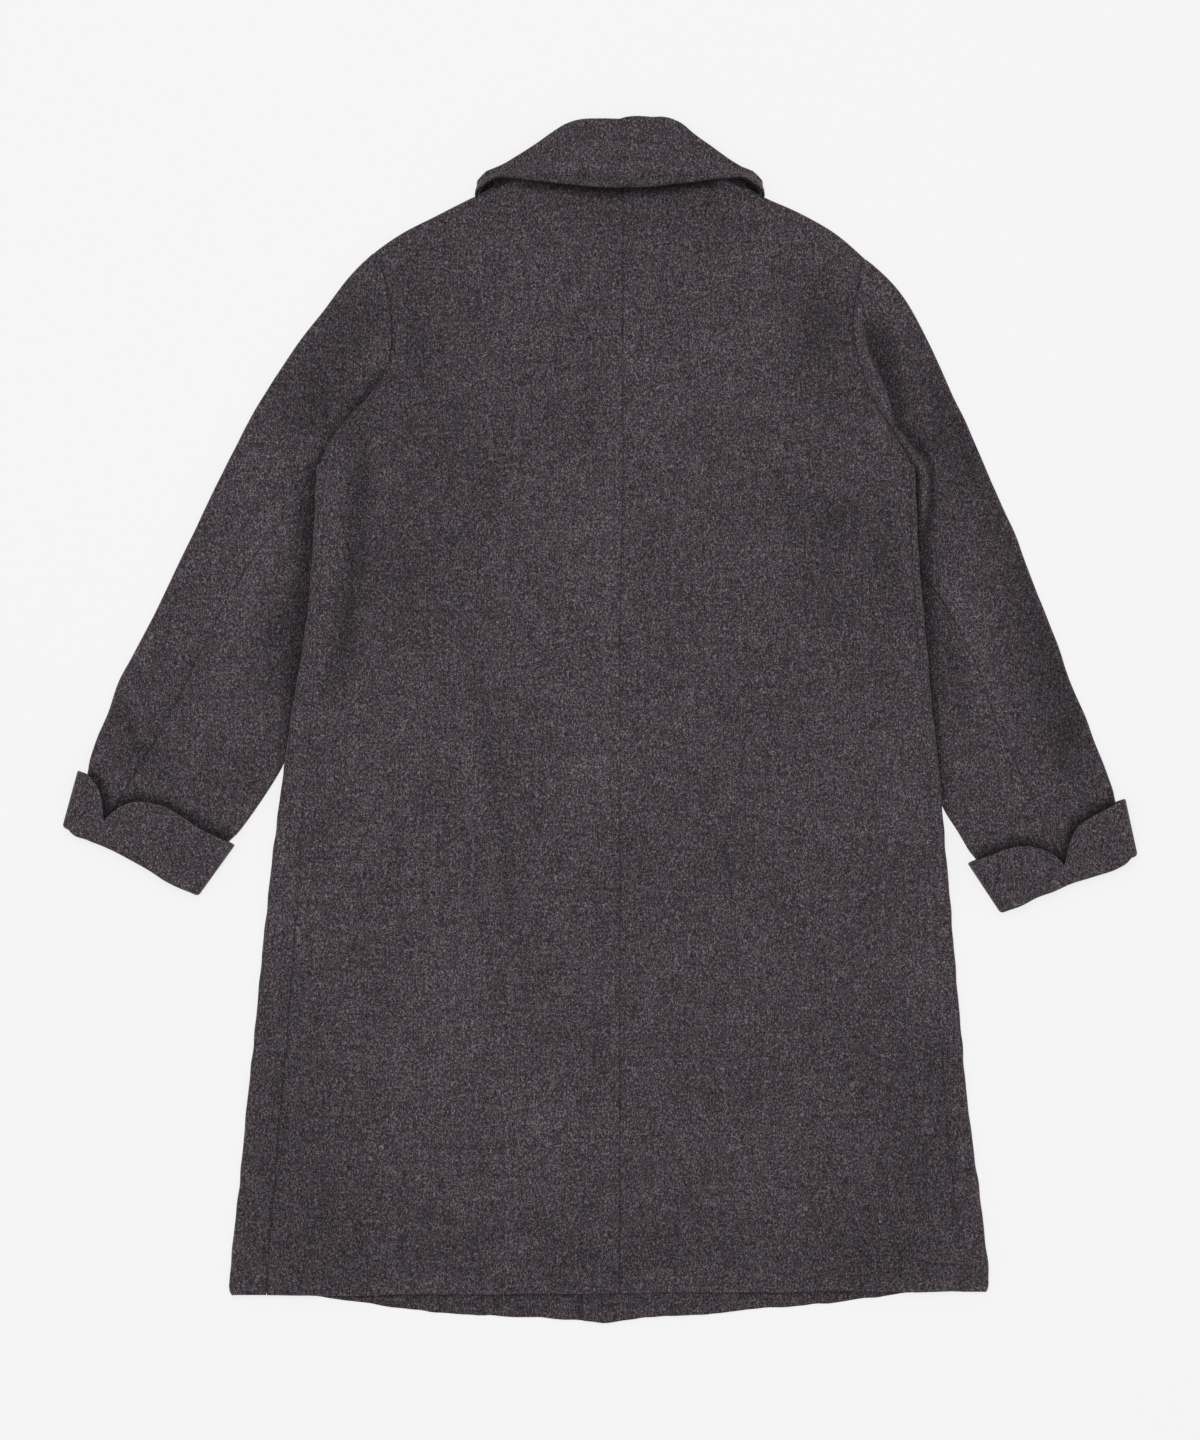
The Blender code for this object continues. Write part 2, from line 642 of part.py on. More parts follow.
def build():
    for obj in list(bpy.data.objects):
        bpy.data.objects.remove(obj)
    wool = finish_of("wool", WOOL, WOOL_ROUGHNESS)
    horn = finish_of("horn", HORN, HORN_ROUGHNESS)
    for side, over in (("left", 0.0), ("right", 1.0)):
        add_back(side, wool)
        add_front(side, over, wool)
        add_sleeve(side, wool)
        add_cuff(side, wool)
    add_collar(wool)
    for number in range(BUTTONS):
        add_button(number, horn)


build()
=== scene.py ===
"""Looks of a single-breasted wool coat, laid flat on its front with its back upwards.

Each cut piece of cloth is a closed wall on a grid of points. The grid is worked out from the coat's
outline in plan, from how high its layer lies and from the soft creases in it. Sizes are in millimetres
until a wall is made a mesh. +Y runs from the hem to the collar, +X to the wearer's right and +Z up.
"""

from math import pi

import bpy
import numpy as np
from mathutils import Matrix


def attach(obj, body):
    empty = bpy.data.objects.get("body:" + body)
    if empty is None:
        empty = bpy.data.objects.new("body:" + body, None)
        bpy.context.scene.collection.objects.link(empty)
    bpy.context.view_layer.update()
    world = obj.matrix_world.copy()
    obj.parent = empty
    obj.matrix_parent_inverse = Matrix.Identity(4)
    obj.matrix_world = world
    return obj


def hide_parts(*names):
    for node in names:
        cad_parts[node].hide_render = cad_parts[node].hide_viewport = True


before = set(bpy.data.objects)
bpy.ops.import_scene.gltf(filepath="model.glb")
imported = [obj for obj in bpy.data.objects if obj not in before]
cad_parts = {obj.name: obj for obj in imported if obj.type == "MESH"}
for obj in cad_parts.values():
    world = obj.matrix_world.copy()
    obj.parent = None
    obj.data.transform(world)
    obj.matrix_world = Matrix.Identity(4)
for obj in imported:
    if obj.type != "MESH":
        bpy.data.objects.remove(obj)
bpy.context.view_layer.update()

MM = 0.001

# Cloth and layers
CLOTH = 2.4          # body and sleeve cloth
COLLAR_CLOTH = 3.6   # collar, two layers sewn together
CUFF_CLOTH = 3.2     # turn-back cuff
BODY_ROUND = 0.6     # widths over which the pieces' cut edges are rounded
SLEEVE_ROUND = 0.5
CUFF_ROUND = 1.4
COLLAR_ROUND = 1.8
NECK_SEAM = 2.0      # the collar's sewn edge runs this far into the neck edge
FOLD = 3.0           # radius of a fold, at the middle of the cloth
LAYERS_APART = 2 * FOLD
FUZZ = 0.9           # at an outline, fuzz that shows as cloth
RIM = FOLD + CLOTH / 2 - FUZZ   # from a fold's axis to the outline
CUFF_RADIUS = 6.0    # half the height of the cuff's ring, at the middle of its cloth

# Body
CENTRE = 19.0        # centre back and centre front
CENTRE_AT_NECK = 22.0
CENTRE_BEND = (80.0, 250.0)
OVERLAP = 35.0       # each front runs past the centre by this much
OVERLAP_RAMP = (32.0, 90.0)
UNDERARM = 244.0
BACK_HEM = -550.0
HEM_SLOPE = 0.007
HEM_FLARE = 2.4      # the back's hem stands off the fronts by this much more
FLARE_SIDES = (10.0, 70.0)   # distances from the sides between which it begins
FLARE_HEIGHT = 30.0
HEM_SHADE = -0.08    # tone of the fronts where they show under it
HEM_SHADE_RAMP = (-556.0, -540.0)
HEM_FUZZ = 1.1       # at the hems, fuzz that shows as cloth
NECK_HALF = 105.0
NECK_SIDE = 517.0
BACK_NECK = 540.0
FRONT_NECK = 452.0
SHOULDER_TURN = 1.5  # the back's cloth runs this far past the shoulder fold
NECK_SHARE = 8 / 13  # share of a panel's columns that end at the neck, before the shoulder

# Buttons and buttonholes, which face the floor
BUTTON_TOP = 373.0
BUTTON_STEP = 125.0
BUTTONS = 4
BUTTON_RADIUS = 14.0
BUTTON_THICK = 3.0
BUTTON_RIM = 3.0         # width of the raised rim
BUTTON_DISH = 0.8        # the middle lies this far behind the rim
BUTTON_ROUND = 1.0
BUTTON_POLE = 0.3        # radius of the smallest ring of its grid
BUTTON_POINTS = {"face": 38, "rim": 13, "edge": 7, "back": 5, "around": 96}
HOLE_RADIUS = 1.1        # of the four sewing holes
HOLE_ROUND = 0.25
HOLE_PLACE = 2.6         # from the button's centre, along and across
HOLE_DEPTH = 1.5
THREAD_RADIUS = 0.35
THREAD_PROUD = 0.7       # share of its radius by which a stitch stands over the face
THREAD_POINTS = {"along": 25, "around": 12}
SLIT = (-11.0, 22.0)     # a buttonhole's two ends, the second under the button
SLIT_HALF = 1.5
STITCH_WIDTH = 1.45
STITCH_HEIGHT = 0.6
STITCH_SWELL = 0.15      # share of its width by which the loop swells at each stitch
STITCHES = 60
PAINTED_STITCH_SHADE = -0.34      # painted shade on the loop's top; its inside, by the slit, is twice as dark

# Heights that the layers underneath give
NECK_LIFT = 4.0
NECK_OVAL = (150.0, 125.0)
NECK_FADE = 1.5
TUCK_LIFT = 8.8
TUCK_WIDTH = (36.0, 90.0)
BUTTON_LIFT = 3.3
BUTTON_WIDTH = (55.0, 100.0)
BUTTON_ABOVE = (25.0, 70.0)
BUTTON_BELOW = (85.0, 170.0)
CUFF_LIFT = 3.3
CUFF_RISE = (0.80, 0.88)
BLEND = 6            # power of the mean that blends the rises
BACK_PUFF = 3.0      # the back stands up by this much in the middle
PUFF_SIDES = (30.0, 110.0)   # distances from the sides between which it rises
PUFF_HEM = 110.0
PUFF_SHOULDER = (380.0, 500.0)
SLEEVE_PUFF = 3.5    # and the sleeves by this much
SLEEVE_PUFF_POWER = 0.8
SLEEVE_PUFF_START = (0.0, 0.14)   # shares of the sleeve's length
SLEEVE_FREE = (-2.0, 14.0)        # distances from the body between which a sleeve is free to rise
SLEEVE_CLEAR = (-2.0, 8.0)        # and between which its creases begin
CREASE_DEPTH = 1.5   # the creases below are this many times as deep as their heights say
CREASE_ENDS = (0.3, 0.7)     # shares of its length between which a crease is full
DEEPEST = -3.4       # no layer sinks further on to the one under it
PAINTED_RELIEF_LIGHT = 0.14      # painted highlight and shade: share by which the colour is lighter on a ridge, or darker in a trough, of 1 mm

# Unevenness: the seed of its directions, its wave lengths and its height
UNEVEN = {
    "side": (21, (14, 23, 41), 0.45),
    "back": (3, (70, 110, 190), 0.35),
    "back_hem": (11, (22, 60, 130, 240), 1.2),
    "front_hem": (22, (14, 23, 41), 0.45),
    "sleeve": (5, (60, 100, 160), 0.4),
    "sleeve_fold": (23, (29, 47, 83), 0.45),
    "cuff": (8, (40, 70), 0.35),
}
WAVER_START = (0.0, 0.08)    # the sleeve's fold is uneven from these shares of its length on


def sections(names, *rows):
    """A table: one array for each named column."""
    return dict(zip(names, np.array(rows, float).T))


# The body's side edges and how far the front's cloth runs over the edge on to the back, at heights y
BODY = sections(
    ("y", "left_edge", "right_edge", "left_strip", "right_strip"),
    (-552, -352, 369, 31.5, 21.5),
    (-546, -355.3, 372, 35.5, 26.0),
    (-536, -355.1, 372.4, 35.3, 26.0),
    (-500, -351.8, 369.4, 35.0, 25.2),
    (-420, -344, 359, 33.5, 23.0),
    (-300, -331.5, 346, 31.5, 19.0),
    (-180, -318.5, 335.5, 27.5, 14.0),
    (-60, -304, 325, 21.5, 9.0),
    (35, -290, 315.5, 15.5, 7.0),
    (110, -279, 309, 10.0, 6.0),
    (175, -273.5, 304, 7.5, 5.0),
    (UNDERARM, -271, 301.5, 5.0, 5.0),
)

# The fronts' hem, which hangs below the back's
FRONT_HEM = sections(
    ("x", "y"),
    (-370, -552), (-299, -551.6), (-249, -556.8), (-199, -564.1), (-149, -569.9), (-99, -572.7),
    (-49, -574.9), (-22, -576.7), (2, -579), (26, -576.4), (50, -573.4), (100, -571.2),
    (150, -565.7), (200, -562.2), (250, -556.5), (300, -550), (370, -549),
)

# The upper outline from the neck over the shoulder and down the sleeve to the wrist
SHOULDER_ROWS = 5
UPPER_EDGE = {
    "left": sections(
        ("x", "y"),
        (-91, 515.5), (-120, 501), (-154, 484), (-192, 464.5), (-217, 447),
        (-243, 421.5), (-265.5, 391.7), (-292.5, 357), (-325, 306), (-368, 223), (-402, 153),
        (-450, 57), (-461, 38), (-475.4, -1), (-483, -20), (-494, -54), (-509, -102),
    ),
    "right": sections(
        ("x", "y"),
        (129, 516.5), (155.5, 501), (192.5, 484), (226, 465), (254.5, 441),
        (282.5, 415), (299, 392), (319, 354), (342.3, 306), (368.5, 248), (393, 191),
        (424, 114), (453, 37), (482, -39), (494.5, -75), (510, -124),
    ),
}

# The sleeve's inner edge from the underarm to the wrist, where the body lies on most of it
INNER_EDGE = {
    "left": sections(
        ("x", "y"),
        (-254, 258), (-258, 236), (-257, 206), (-254, 174), (-252, 136), (-254, 90),
        (-268, 30), (-300, -36), (-311.5, -55.7), (-326.4, -79), (-342.6, -102), (-356, -119), (-384, -157),
    ),
    "right": sections(
        ("x", "y"),
        (285, 258), (289, 236), (288, 206), (285, 172), (283, 136), (284, 78),
        (294, 18), (310, -44), (331.8, -89), (343, -106), (358.8, -133), (386.5, -173),
    ),
}

# The armhole seam between the shoulder and the underarm
ARMHOLE = {
    "left": sections(
        ("x", "y"),
        (-207, 424), (-201.5, 392.5), (-200.5, 359), (-208, 327),
        (-228, 301), (-253, 274), (-267, UNDERARM + 2),
    ),
    "right": sections(
        ("x", "y"),
        (248, 414), (243, 388), (244.5, 366), (252, 334),
        (263, 304), (279, 276), (296.5, UNDERARM + 2),
    ),
}

# The heights between which a sleeve lies under the body: start, full, full, end
TUCK = {"left": (352, 304, -60, -150), "right": (318, 258, -110, -200)}
TUCK_IN = 15.0           # the sleeve's edge runs this far under the body at the underarm
TUCK_IN_SHARE = {"left": (0.45, 0.8), "right": (0.6, 0.85)}
ARM_ROLL = 10.0          # width over which the body's edge rolls down to the sleeve
ARM_DROP = 0.55          # share of its rise that it comes down by
ARM_OVERHANG = 3.0       # how far the roll stands out over the sleeve
ARM_ROLL_END = (0.6, 0.8)   # shares of the armhole's length between which it dies out
ARM_LINE = np.linspace(0, 1, 12)
BODY_LINE_ARM = np.linspace(1, 0.04, 12)   # shares of the armhole, and heights below it
BODY_LINE_LOW = np.array([200.0, 110.0, 0.0, -100.0, -200.0])

# The sleeve's back seam, as a share of the width from the outer edge, along the sleeve
SLEEVE_SEAM = {
    "left": sections(
        ("along", "across"),
        (0, 0.875), (0.16, 0.795), (0.36, 0.55), (0.51, 0.355),
        (0.66, 0.308), (0.775, 0.318), (0.94, 0.24), (1, 0.2),
    ),
    "right": sections(
        ("along", "across"),
        (0, 0.875), (0.1, 0.82), (0.24, 0.82), (0.37, 0.86),
        (0.505, 0.62), (0.61, 0.525), (0.71, 0.505), (1, 0.49),
    ),
}
# The share of the inner edge that a section of the sleeve reaches, by its share of the outer edge
SLEEVE_PACE = sections(
    ("outer", "inner"),
    (0, 0), (0.08, 0.04), (0.16, 0.08), (0.32, 0.19), (0.5, 0.39), (1, 1),
)
CAP_REACH = 0.24         # share of the sleeve's length over which the armhole's curve dies out
CAP_DECAY = 5.0          # it dies out faster near the underarm
CAP_DECAY_POWER = 4
FOREARM_SEAM = 0.75      # on the hidden side, as a share of the width
SLEEVE_WIDTH = 150.0
SLEEVE_LENGTH = 600.0
# About how wide each part of a sleeve's two pieces is, on the shown side and on the hidden one
TOP_SLEEVE = {"shown": 80.0, "hidden": 110.0}
UNDER_SLEEVE = {"shown": 70.0, "hidden": 40.0}
STRIP_WIDTH = 20.0       # and the strip of a front on the back

# Cuff corners in plan, and its free edge on the shown side: height by the share of the width
CUFF_CORNERS = {
    "left": {"fold": ((-516, -106), (-386, -169)), "edge": ((-500.5, -49.5), (-351, -120.5))},
    "right": {"fold": ((516, -134), (385, -185.5)), "edge": ((503.5, -76.5), (353.5, -138))},
}
CUFF_NOTCH = {"left": 0.244, "right": 0.484}
CUFF_LOBES = {
    "left": (
        sections(
            ("share", "height"),
            (0, 0.985), (0.044, 1.02), (0.088, 0.985), (0.154, 0.861),
            (0.193, 0.717), (0.218, 0.57), (0.244, 0.43),
        ),
        sections(
            ("share", "height"),
            (0.244, 0.43), (0.27, 0.595), (0.316, 0.785), (0.372, 0.93), (0.455, 1.022),
            (0.553, 1.075), (0.653, 1.05), (0.787, 0.997), (0.883, 0.992), (1, 1.0),
        ),
    ),
    "right": (
        sections(
            ("share", "height"),
            (0, 1.0), (0.05, 0.981), (0.122, 0.958), (0.235, 0.926), (0.338, 0.829), (0.415, 0.609),
            (0.457, 0.437), (0.484, 0.35),
        ),
        sections(
            ("share", "height"),
            (0.484, 0.35), (0.505, 0.506), (0.55, 0.685), (0.607, 0.824), (0.681, 0.93), (0.763, 0.973),
            (0.859, 0.978), (1, 1.0),
        ),
    ),
}
CUFF_TURN = 1.6          # radius of the turned lower edge
CUFF_FLARE = 5.0         # the free edge stands off the sleeve by this much more than its root
CUFF_DIP = 2.6           # the sleeve sinks in front of the free edge
CUFF_DIP_WIDTH = 8.0
CUFF_INSET = 0.045       # share of the width that the rounded end takes
CUFF_SHADE = -0.36       # tone of the sleeve at the free edge
CUFF_SHADE_WIDTH = 6.5
CUFF_FLARE_START = 0.2   # share of the band's height
CUFF_SHOWN = (-0.2, 1.0)  # the turned ends' cosines between which a ring rises to the shown side
CUFF_HIDDEN_WAVE = 0.012  # the hidden free edge waves by this share of the height
CUFF_STATIONS = np.linspace(0, 1, 41)
CUFF_POINTS = {"inner_lobe": 110, "outer_lobe": 50, "hidden": 60, "turned": 9}
# How far the turned lower edge bows up into the band, by the share of the width
CUFF_BOW = {
    "left": sections(
        ("share", "up"),
        (0, 3.2), (0.035, 1.1), (0.14, 2.1), (0.35, 3.6), (0.5, 2.9),
        (0.65, 1.7), (0.8, -0.8), (0.88, -1.0), (1, 0),
    ),
    "right": sections(
        ("share", "up"),
        (0, 3.6), (0.035, 0.9), (0.1, -0.8), (0.3, 0), (0.5, 1.8),
        (0.62, 0.9), (0.76, 1.4), (0.9, -0.5), (1, 0),
    ),
}

# Painted highlight and shade at edges and seams, in the cloth's colour: the share by which it is lighter or
# darker, and over which width
PAINTED_RIM_HIGHLIGHT = 0.22          # painted highlight along a cut edge
RIM_WIDTH = 1.6
PAINTED_SEAM_SHADE = -0.30        # painted shade at the centre back seam
SEAM_WIDTH = 1.0
PAINTED_LIGHT_LIMITS = (-0.55, 0.13)   # of the painted highlight on ridges and the painted shade in troughs
COLLAR_SHADE = -0.82     # on the back, under the collar's edge
COLLAR_SHADE_WIDTH = 6.5
COLLAR_SHADE_BELOW = 1.5
COLLAR_SHADE_END = (0.66, 0.86)   # it dies out between these shares of the way to the collar's end
PAINTED_COLLAR_INSIDE_SHADE = -0.8     # painted shade inside the collar's roll
# Painted shade along the side seams, the armhole seams and the sleeves' back seams
PAINTED_SIDE_SEAM_SHADE = -0.25
PAINTED_ARM_SEAM_SHADE = -0.42
PAINTED_SLEEVE_SEAM_SHADE = -0.34
EDGE_SHADE = -0.35       # beside the front's edge that lies on the other front
EDGE_SHADE_WIDTH = 2.6

# The collar's lines, by the share of its half width from the centre to the side
COLLAR_HALF = 135.5
COLLAR_SIDE = 10.0       # of which its rounded side takes this much
STAND_HALF = 119.0
COLLAR = sections(
    ("share", "back_roll", "back_edge", "front_roll", "front_edge"),
    (0.00, 575.8, 509.0, 475, 400),
    (0.17, 576.2, 509.5, 476, 400),
    (0.32, 575.0, 511.0, 479, 405),
    (0.405, 571.7, 512.5, 482, 411),
    (0.49, 565.4, 513.4, 486, 418),
    (0.64, 552.2, 515.8, 497, 432),
    (0.78, 541.0, 518.0, 510, 452),
    (0.86, 534.8, 518.6, 517, 466),
    (0.94, 530.0, 518.2, 523, 480),
    (1.00, 527.0, 513.8, 526, 490),
)
# The roll stands a little higher on the wearer's right
RIGHT_ROLL = sections(
    ("share", "y"),
    (0, 575.8), (0.047, 577.5), (0.118, 578.5), (0.189, 578.3), (0.26, 577.6), (0.331, 577.9),
    (0.4, 576.0), (0.472, 571.6), (0.543, 564.0), (0.685, 551.0), (0.827, 538.0), (0.92, 531.0), (1, 527),
)
COLLAR_END = 2.0
COLLAR_DEPTH = 70.0
ROLL_REACH = 4.0         # how far the roll reaches past the stand
ROLL_DIP = 6.0           # the roll and the neck seam come down by this much at the side
SEAM_DIP = 1.0
SEAM_SLOPE = 0.55        # past the neck's end the neck seam follows the shoulder
COLLAR_CLEAR = 0.6       # between the stand and the fall
COLLAR_CURL = 7.0        # the collar's edge stands off the back by this much more than its roll does
COLLAR_CURL_START = 0.15  # share of the way from the roll to the edge
COLLAR_SPREAD = 0.3      # the collar widens by this share of its curl
COLLAR_EDGE = 9.0        # width of the thicker turned edge, with a shallow trough beside it
COLLAR_EDGE_BELLS = (0.6, 0.4)   # half widths of the edge and of the trough, as shares of it
COLLAR_EDGE_RISE = 1.6
PAINTED_COLLAR_EDGE_SHADE = -0.42  # painted shade where the edge turns under
COLLAR_EDGE_TURN = 4.5
COLLAR_POINTS = {"back": 44, "stand": 7, "roll": 13}

# Beside the body a sleeve sinks into a trough: its depth and half width at heights y
SLEEVE_TROUGH = {
    "left": sections(
        ("y", "depth", "width"),
        (-150, 0, 6), (-60, 1.4, 5), (-20, 3.0, 7), (25, 4.4, 14), (100, 4.9, 18), (200, 4.9, 17),
        (244, 3.8, 10), (262, 1.6, 5), (290, 1.8, 5), (316, 4.2, 8), (332, 3.2, 7), (345, 0.3, 4),
        (430, 0.1, 3),
    ),
    "right": sections(
        ("y", "depth", "width"),
        (-200, 0, 6), (-110, 1.6, 5), (-47, 3.6, 6), (60, 4.2, 7.5), (95, 4.8, 13), (210, 4.8, 14),
        (235, 4.0, 8), (300, 0.8, 4), (430, 0.1, 3),
    ),
}
TROUGH_POWER = 1.5       # of the fall of its side

# Soft creases: height, half width and the line that each follows
BACK_CREASES = (
    (-1.2, 8, ((-142, 153), (-125, 76), (-111, 9), (-96, -107), (-77, -222), (-67, -275))),
    (0.8, 9, ((-136, 18), (-121, -49), (-108, -126), (-96, -193))),
    (-0.9, 16, ((-106, 258), (-113, 191), (-119, 143))),
    (-2.6, 12, ((-228, 330), (-231, 253), (-233, 181), (-238, 124), (-248, 52), (-258, -10))),
    (1.1, 8, ((-258, 275), (-261, 239), (-262, 172), (-268, 105), (-276, 37), (-283, -20))),
    (-1.2, 16, ((273, 229), (276, 153), (284, 66))),
    (-0.5, 18, ((187, 402), (211, 373), (235, 340))),
    (-1.3, 24, ((158, 186), (211, 201), (261, 167))),
    (-1.1, 18, ((182, 107), (216, 103), (250, 114))),
    (0.7, 7, ((96, 66), (130, 18), (161, -22), (192, -63))),
    (-0.8, 8, ((96, 45), (123, 7), (150, -32))),
    (-0.9, 8, ((108, -97), (123, -137), (142, -179))),
    (0.9, 8, ((12, 306), (11, 153), (9, -1), (7, -135))),
    (0.5, 40, ((-6, 350), (-8, 150), (-10, -60), (-20, -200))),
    (-0.6, 14, ((-14, 373), (-10, 306), (-4, 239))),
    (-0.9, 26, ((-163, 402), (-178, 354), (-168, 306))),
    (0.9, 14, ((312, -90), (322, -200), (331, -330))),
    (0.8, 13, ((-283, 60), (-306, -90), (-326, -260))),
    (-0.6, 14, ((-14, -347), (-12, -404), (-19, -471))),
    (-0.7, 40, ((-340, -505), (-170, -512), (0, -520), (170, -512), (350, -500))),
    (-1.2, 62, ((-310, -280), (-295, -410), (-285, -520), (-280, -640))),
    (-1.1, 58, ((300, -220), (292, -380), (290, -520), (290, -640))),
    (-0.9, 58, ((-175, 490), (-170, 380), (-165, 260), (-190, 140), (-200, 20))),
    (-1.2, 42, ((196, 215), (232, 160), (244, 90))),
    (0.7, 50, ((-170, -200), (-130, -310), (-70, -380), (20, -430))),
    (-1.3, 42, ((232, 450), (218, 360), (232, 270))),
    (-0.5, 35, ((-195, 470), (-170, 425), (-175, 370))),
    (-0.9, 19, ((-150, 494), (-50, 485), (20, 483), (90, 485), (190, 494))),
)
SLEEVE_CREASES = {
    "left": (
        (-2.5, 31, ((-214, 432), (-240, 380), (-264, 321), (-284, 252))),
        (1.2, 9, ((-219, 378), (-214, 354), (-214, 330))),
        (-1.8, 5, ((-205, 334), (-214, 322), (-226, 308), (-244, 290))),
        (1.6, 17, ((-296, 215), (-322, 167), (-350, 109), (-370, 76))),
        (-1.5, 27, ((-490, 45), (-461, 0), (-436, -35), (-400, -85))),
        (-1.6, 16, ((-302, 130), (-315, 57), (-328, 5))),
        (0.9, 12, ((-370, 28), (-384, -15), (-394, -54))),
        (-1.0, 11, ((-432, -15), (-453, -44), (-468, -63))),
    ),
    "right": (
        (1.6, 13, ((334, 155), (357, 86), (379, 13), (401, -55))),
        (-1.4, 28, ((395, 185), (425, 95), (450, 0), (468, -75))),
        (-1.1, 26, ((300, 405), (322, 320), (345, 260), (380, 170))),
        (-1.2, 14, ((456, 4), (442, -35), (432, -68))),
        (-1.4, 13, ((331, 95), (341, 28), (350, -25))),
        (0.6, 12, ((341, 239), (360, 181), (384, 124))),
        (-1.0, 10, ((370, -78), (398, -92), (422, -99))),
        (-1.1, 60, ((310, 420), (350, 270), (400, 120), (440, -20), (460, -110))),
    ),
}
# The fold that the right sleeve is dragged into beside the armhole, and the small roll at the underarm
DRAG_FOLD = ((247, 404), (251, 381), (255, 356), (264, 335), (276, 307), (282, 282), (298, 262), (313, 242))
DRAG_ENDS = (0.25, 0.9)       # shares of its length between which it is full
DRAG_HEIGHT = 3.4
DRAG_FALL = (-1.5, 2.0)       # distances from its line between which it falls
DRAG_START = (0.3, 4.5)       # and from the body between which it begins
DRAG_HOLLOW = 4.2
DRAG_HOLLOW_START = (-3.0, 4.0)
DRAG_WIDTH = (20.0, 10.0)     # of the hollow, at its upper and lower ends
DRAG_NARROWS = (0.3, 0.8)
UNDERARM_ROLL = ((294, 262), (306, 247), (311, 228), (310, 205), (307, 181), (304, 160))
UNDERARM_ENDS = (0.15, 0.5)
UNDERARM_ROLL_HEIGHT = 4.6
UNDERARM_ROLL_WIDTH = 3.6
UNDERARM_TROUGH = {"depth": 2.4, "place": 8.0, "width": 4.0}   # beside the roll
UNDERARM_PIT = {"x": 305.5, "y": 231.0, "depth": 5.0, "width": 4.0}
FRONT_CREASE_START = 40.0     # the fronts are creased from this far outside their overlap
FRONT_CREASES = (
    (1.2, 12, ((-150, 300), (-130, 220), (-120, 130), (-128, 30))),
    (1.0, 10, ((150, 260), (165, 170), (160, 60), (172, -40))),
    (1.3, 14, ((-200, -60), (-180, -170), (-190, -290), (-170, -400))),
    (1.1, 12, ((210, -120), (190, -230), (205, -340), (195, -450))),
    (0.9, 9, ((-90, -150), (-60, -240), (-75, -330))),
    (0.9, 9, ((110, -200), (95, -300), (115, -400))),
)


# Numbers and plan curves

def ramp(value, start, end):
    """0 at start and 1 at end, with a smooth rise between."""
    share = np.clip((value - start) / (end - start), 0, 1)
    return share * share * (3 - 2 * share)


def bell(distance, width):
    """1 on a line, and less on both sides of it: a Gaussian bell."""
    return np.exp(-(distance / width) ** 2)


def ends(share, full):
    """1 between the two shares of a line's length, with a smooth fall to 0 at its ends."""
    return ramp(share, 0, full[0]) * (1 - ramp(share, full[1], 1))


def around(count):
    """Angles of the points of a ring."""
    return np.linspace(0, 2 * pi, count + 1)[:-1]


def smooth(value, xs, ys):
    """The height at value of a cubic curve through (xs, ys), with slopes taken from the neighbours."""
    slopes = np.gradient(ys, xs)
    before = np.clip(np.searchsorted(xs, value) - 1, 0, len(xs) - 2)
    width = xs[before + 1] - xs[before]
    share = np.clip((value - xs[before]) / width, 0, 1)
    rise = share * share * (3 - 2 * share)
    bend = share * (1 - share)
    start_pull = bend * (1 - share) * slopes[before] * width
    end_pull = bend * share * slopes[before + 1] * width
    return ys[before] + (ys[before + 1] - ys[before]) * rise + start_pull - end_pull


def path(points, share):
    """Points at these shares of the length of a smooth curve through the given ones."""
    steps = np.linalg.norm(np.diff(points, axis=0), axis=1)
    reached = np.concatenate([[0], np.cumsum(steps)]) / steps.sum()
    return np.stack([smooth(share, reached, points[:, axis]) for axis in (0, 1)], -1)


def plan(table):
    return np.stack([table["x"], table["y"]], -1)


def normals(points):
    """Unit vectors to the left of the way along a row of points."""
    way = np.gradient(points, axis=0)
    across = np.stack([-way[:, 1], way[:, 0]], -1)
    return across / np.linalg.norm(across, axis=-1, keepdims=True)


def facing(side):
    """-1 on the wearer's left, which is -X, and 1 on the right."""
    return -1 if side == "left" else 1


# Distances from a cut edge at which a grid has a line of points, and between its other lines
ROUND = np.array([0, 0.07, 0.26, 0.6, 1.2, 2.2, 4.0])
STEP = {
    "length": 4.5, "width": 4.2, "strip": 2.5, "sleeve": 3.6, "under_sleeve": 3.0, "cuff": 2.6,
    "collar_stand": 3.2, "collar_fall": 2.2,
}


def spaced(length, step, start=True, end=True):
    """Shares along a length: step apart, and close together by an end that is a cut edge."""
    first = ROUND / length if start else np.zeros(1)
    last = 1 - ROUND[::-1] / length if end else np.ones(1)
    count = max(int(length / step), 2)
    middle = np.linspace(first[-1], last[0], count)[1:-1]
    return np.concatenate([first, middle, last])


def beside(x, y, line, count=28):
    """Signed distance from a smooth line, positive on the left of its way, and the share along it."""
    points = path(np.array(line, float), np.linspace(0, 1, count))
    best = np.full(np.shape(x), np.inf)
    share = np.zeros(np.shape(x))
    sign = np.ones(np.shape(x))
    for number, (start, end) in enumerate(zip(points, points[1:])):
        way = end - start
        reached = np.clip(((x - start[0]) * way[0] + (y - start[1]) * way[1]) / (way @ way), 0, 1)
        off_x = x - start[0] - reached * way[0]
        off_y = y - start[1] - reached * way[1]
        distance = np.hypot(off_x, off_y)
        nearer = distance < best
        best = np.where(nearer, distance, best)
        share = np.where(nearer, (number + reached) / (count - 1), share)
        sign = np.where(nearer, np.sign(way[0] * off_y - way[1] * off_x), sign)
    return best * sign, share


def creased(x, y, creases):
    """The sum of soft creases: each a bell across its line, which dies out towards its two ends."""
    height = np.zeros(np.shape(x))
    for rise, width, line in creases:
        distance, share = beside(x, y, line)
        height += rise * ends(share, CREASE_ENDS) * bell(distance, width)
    return height


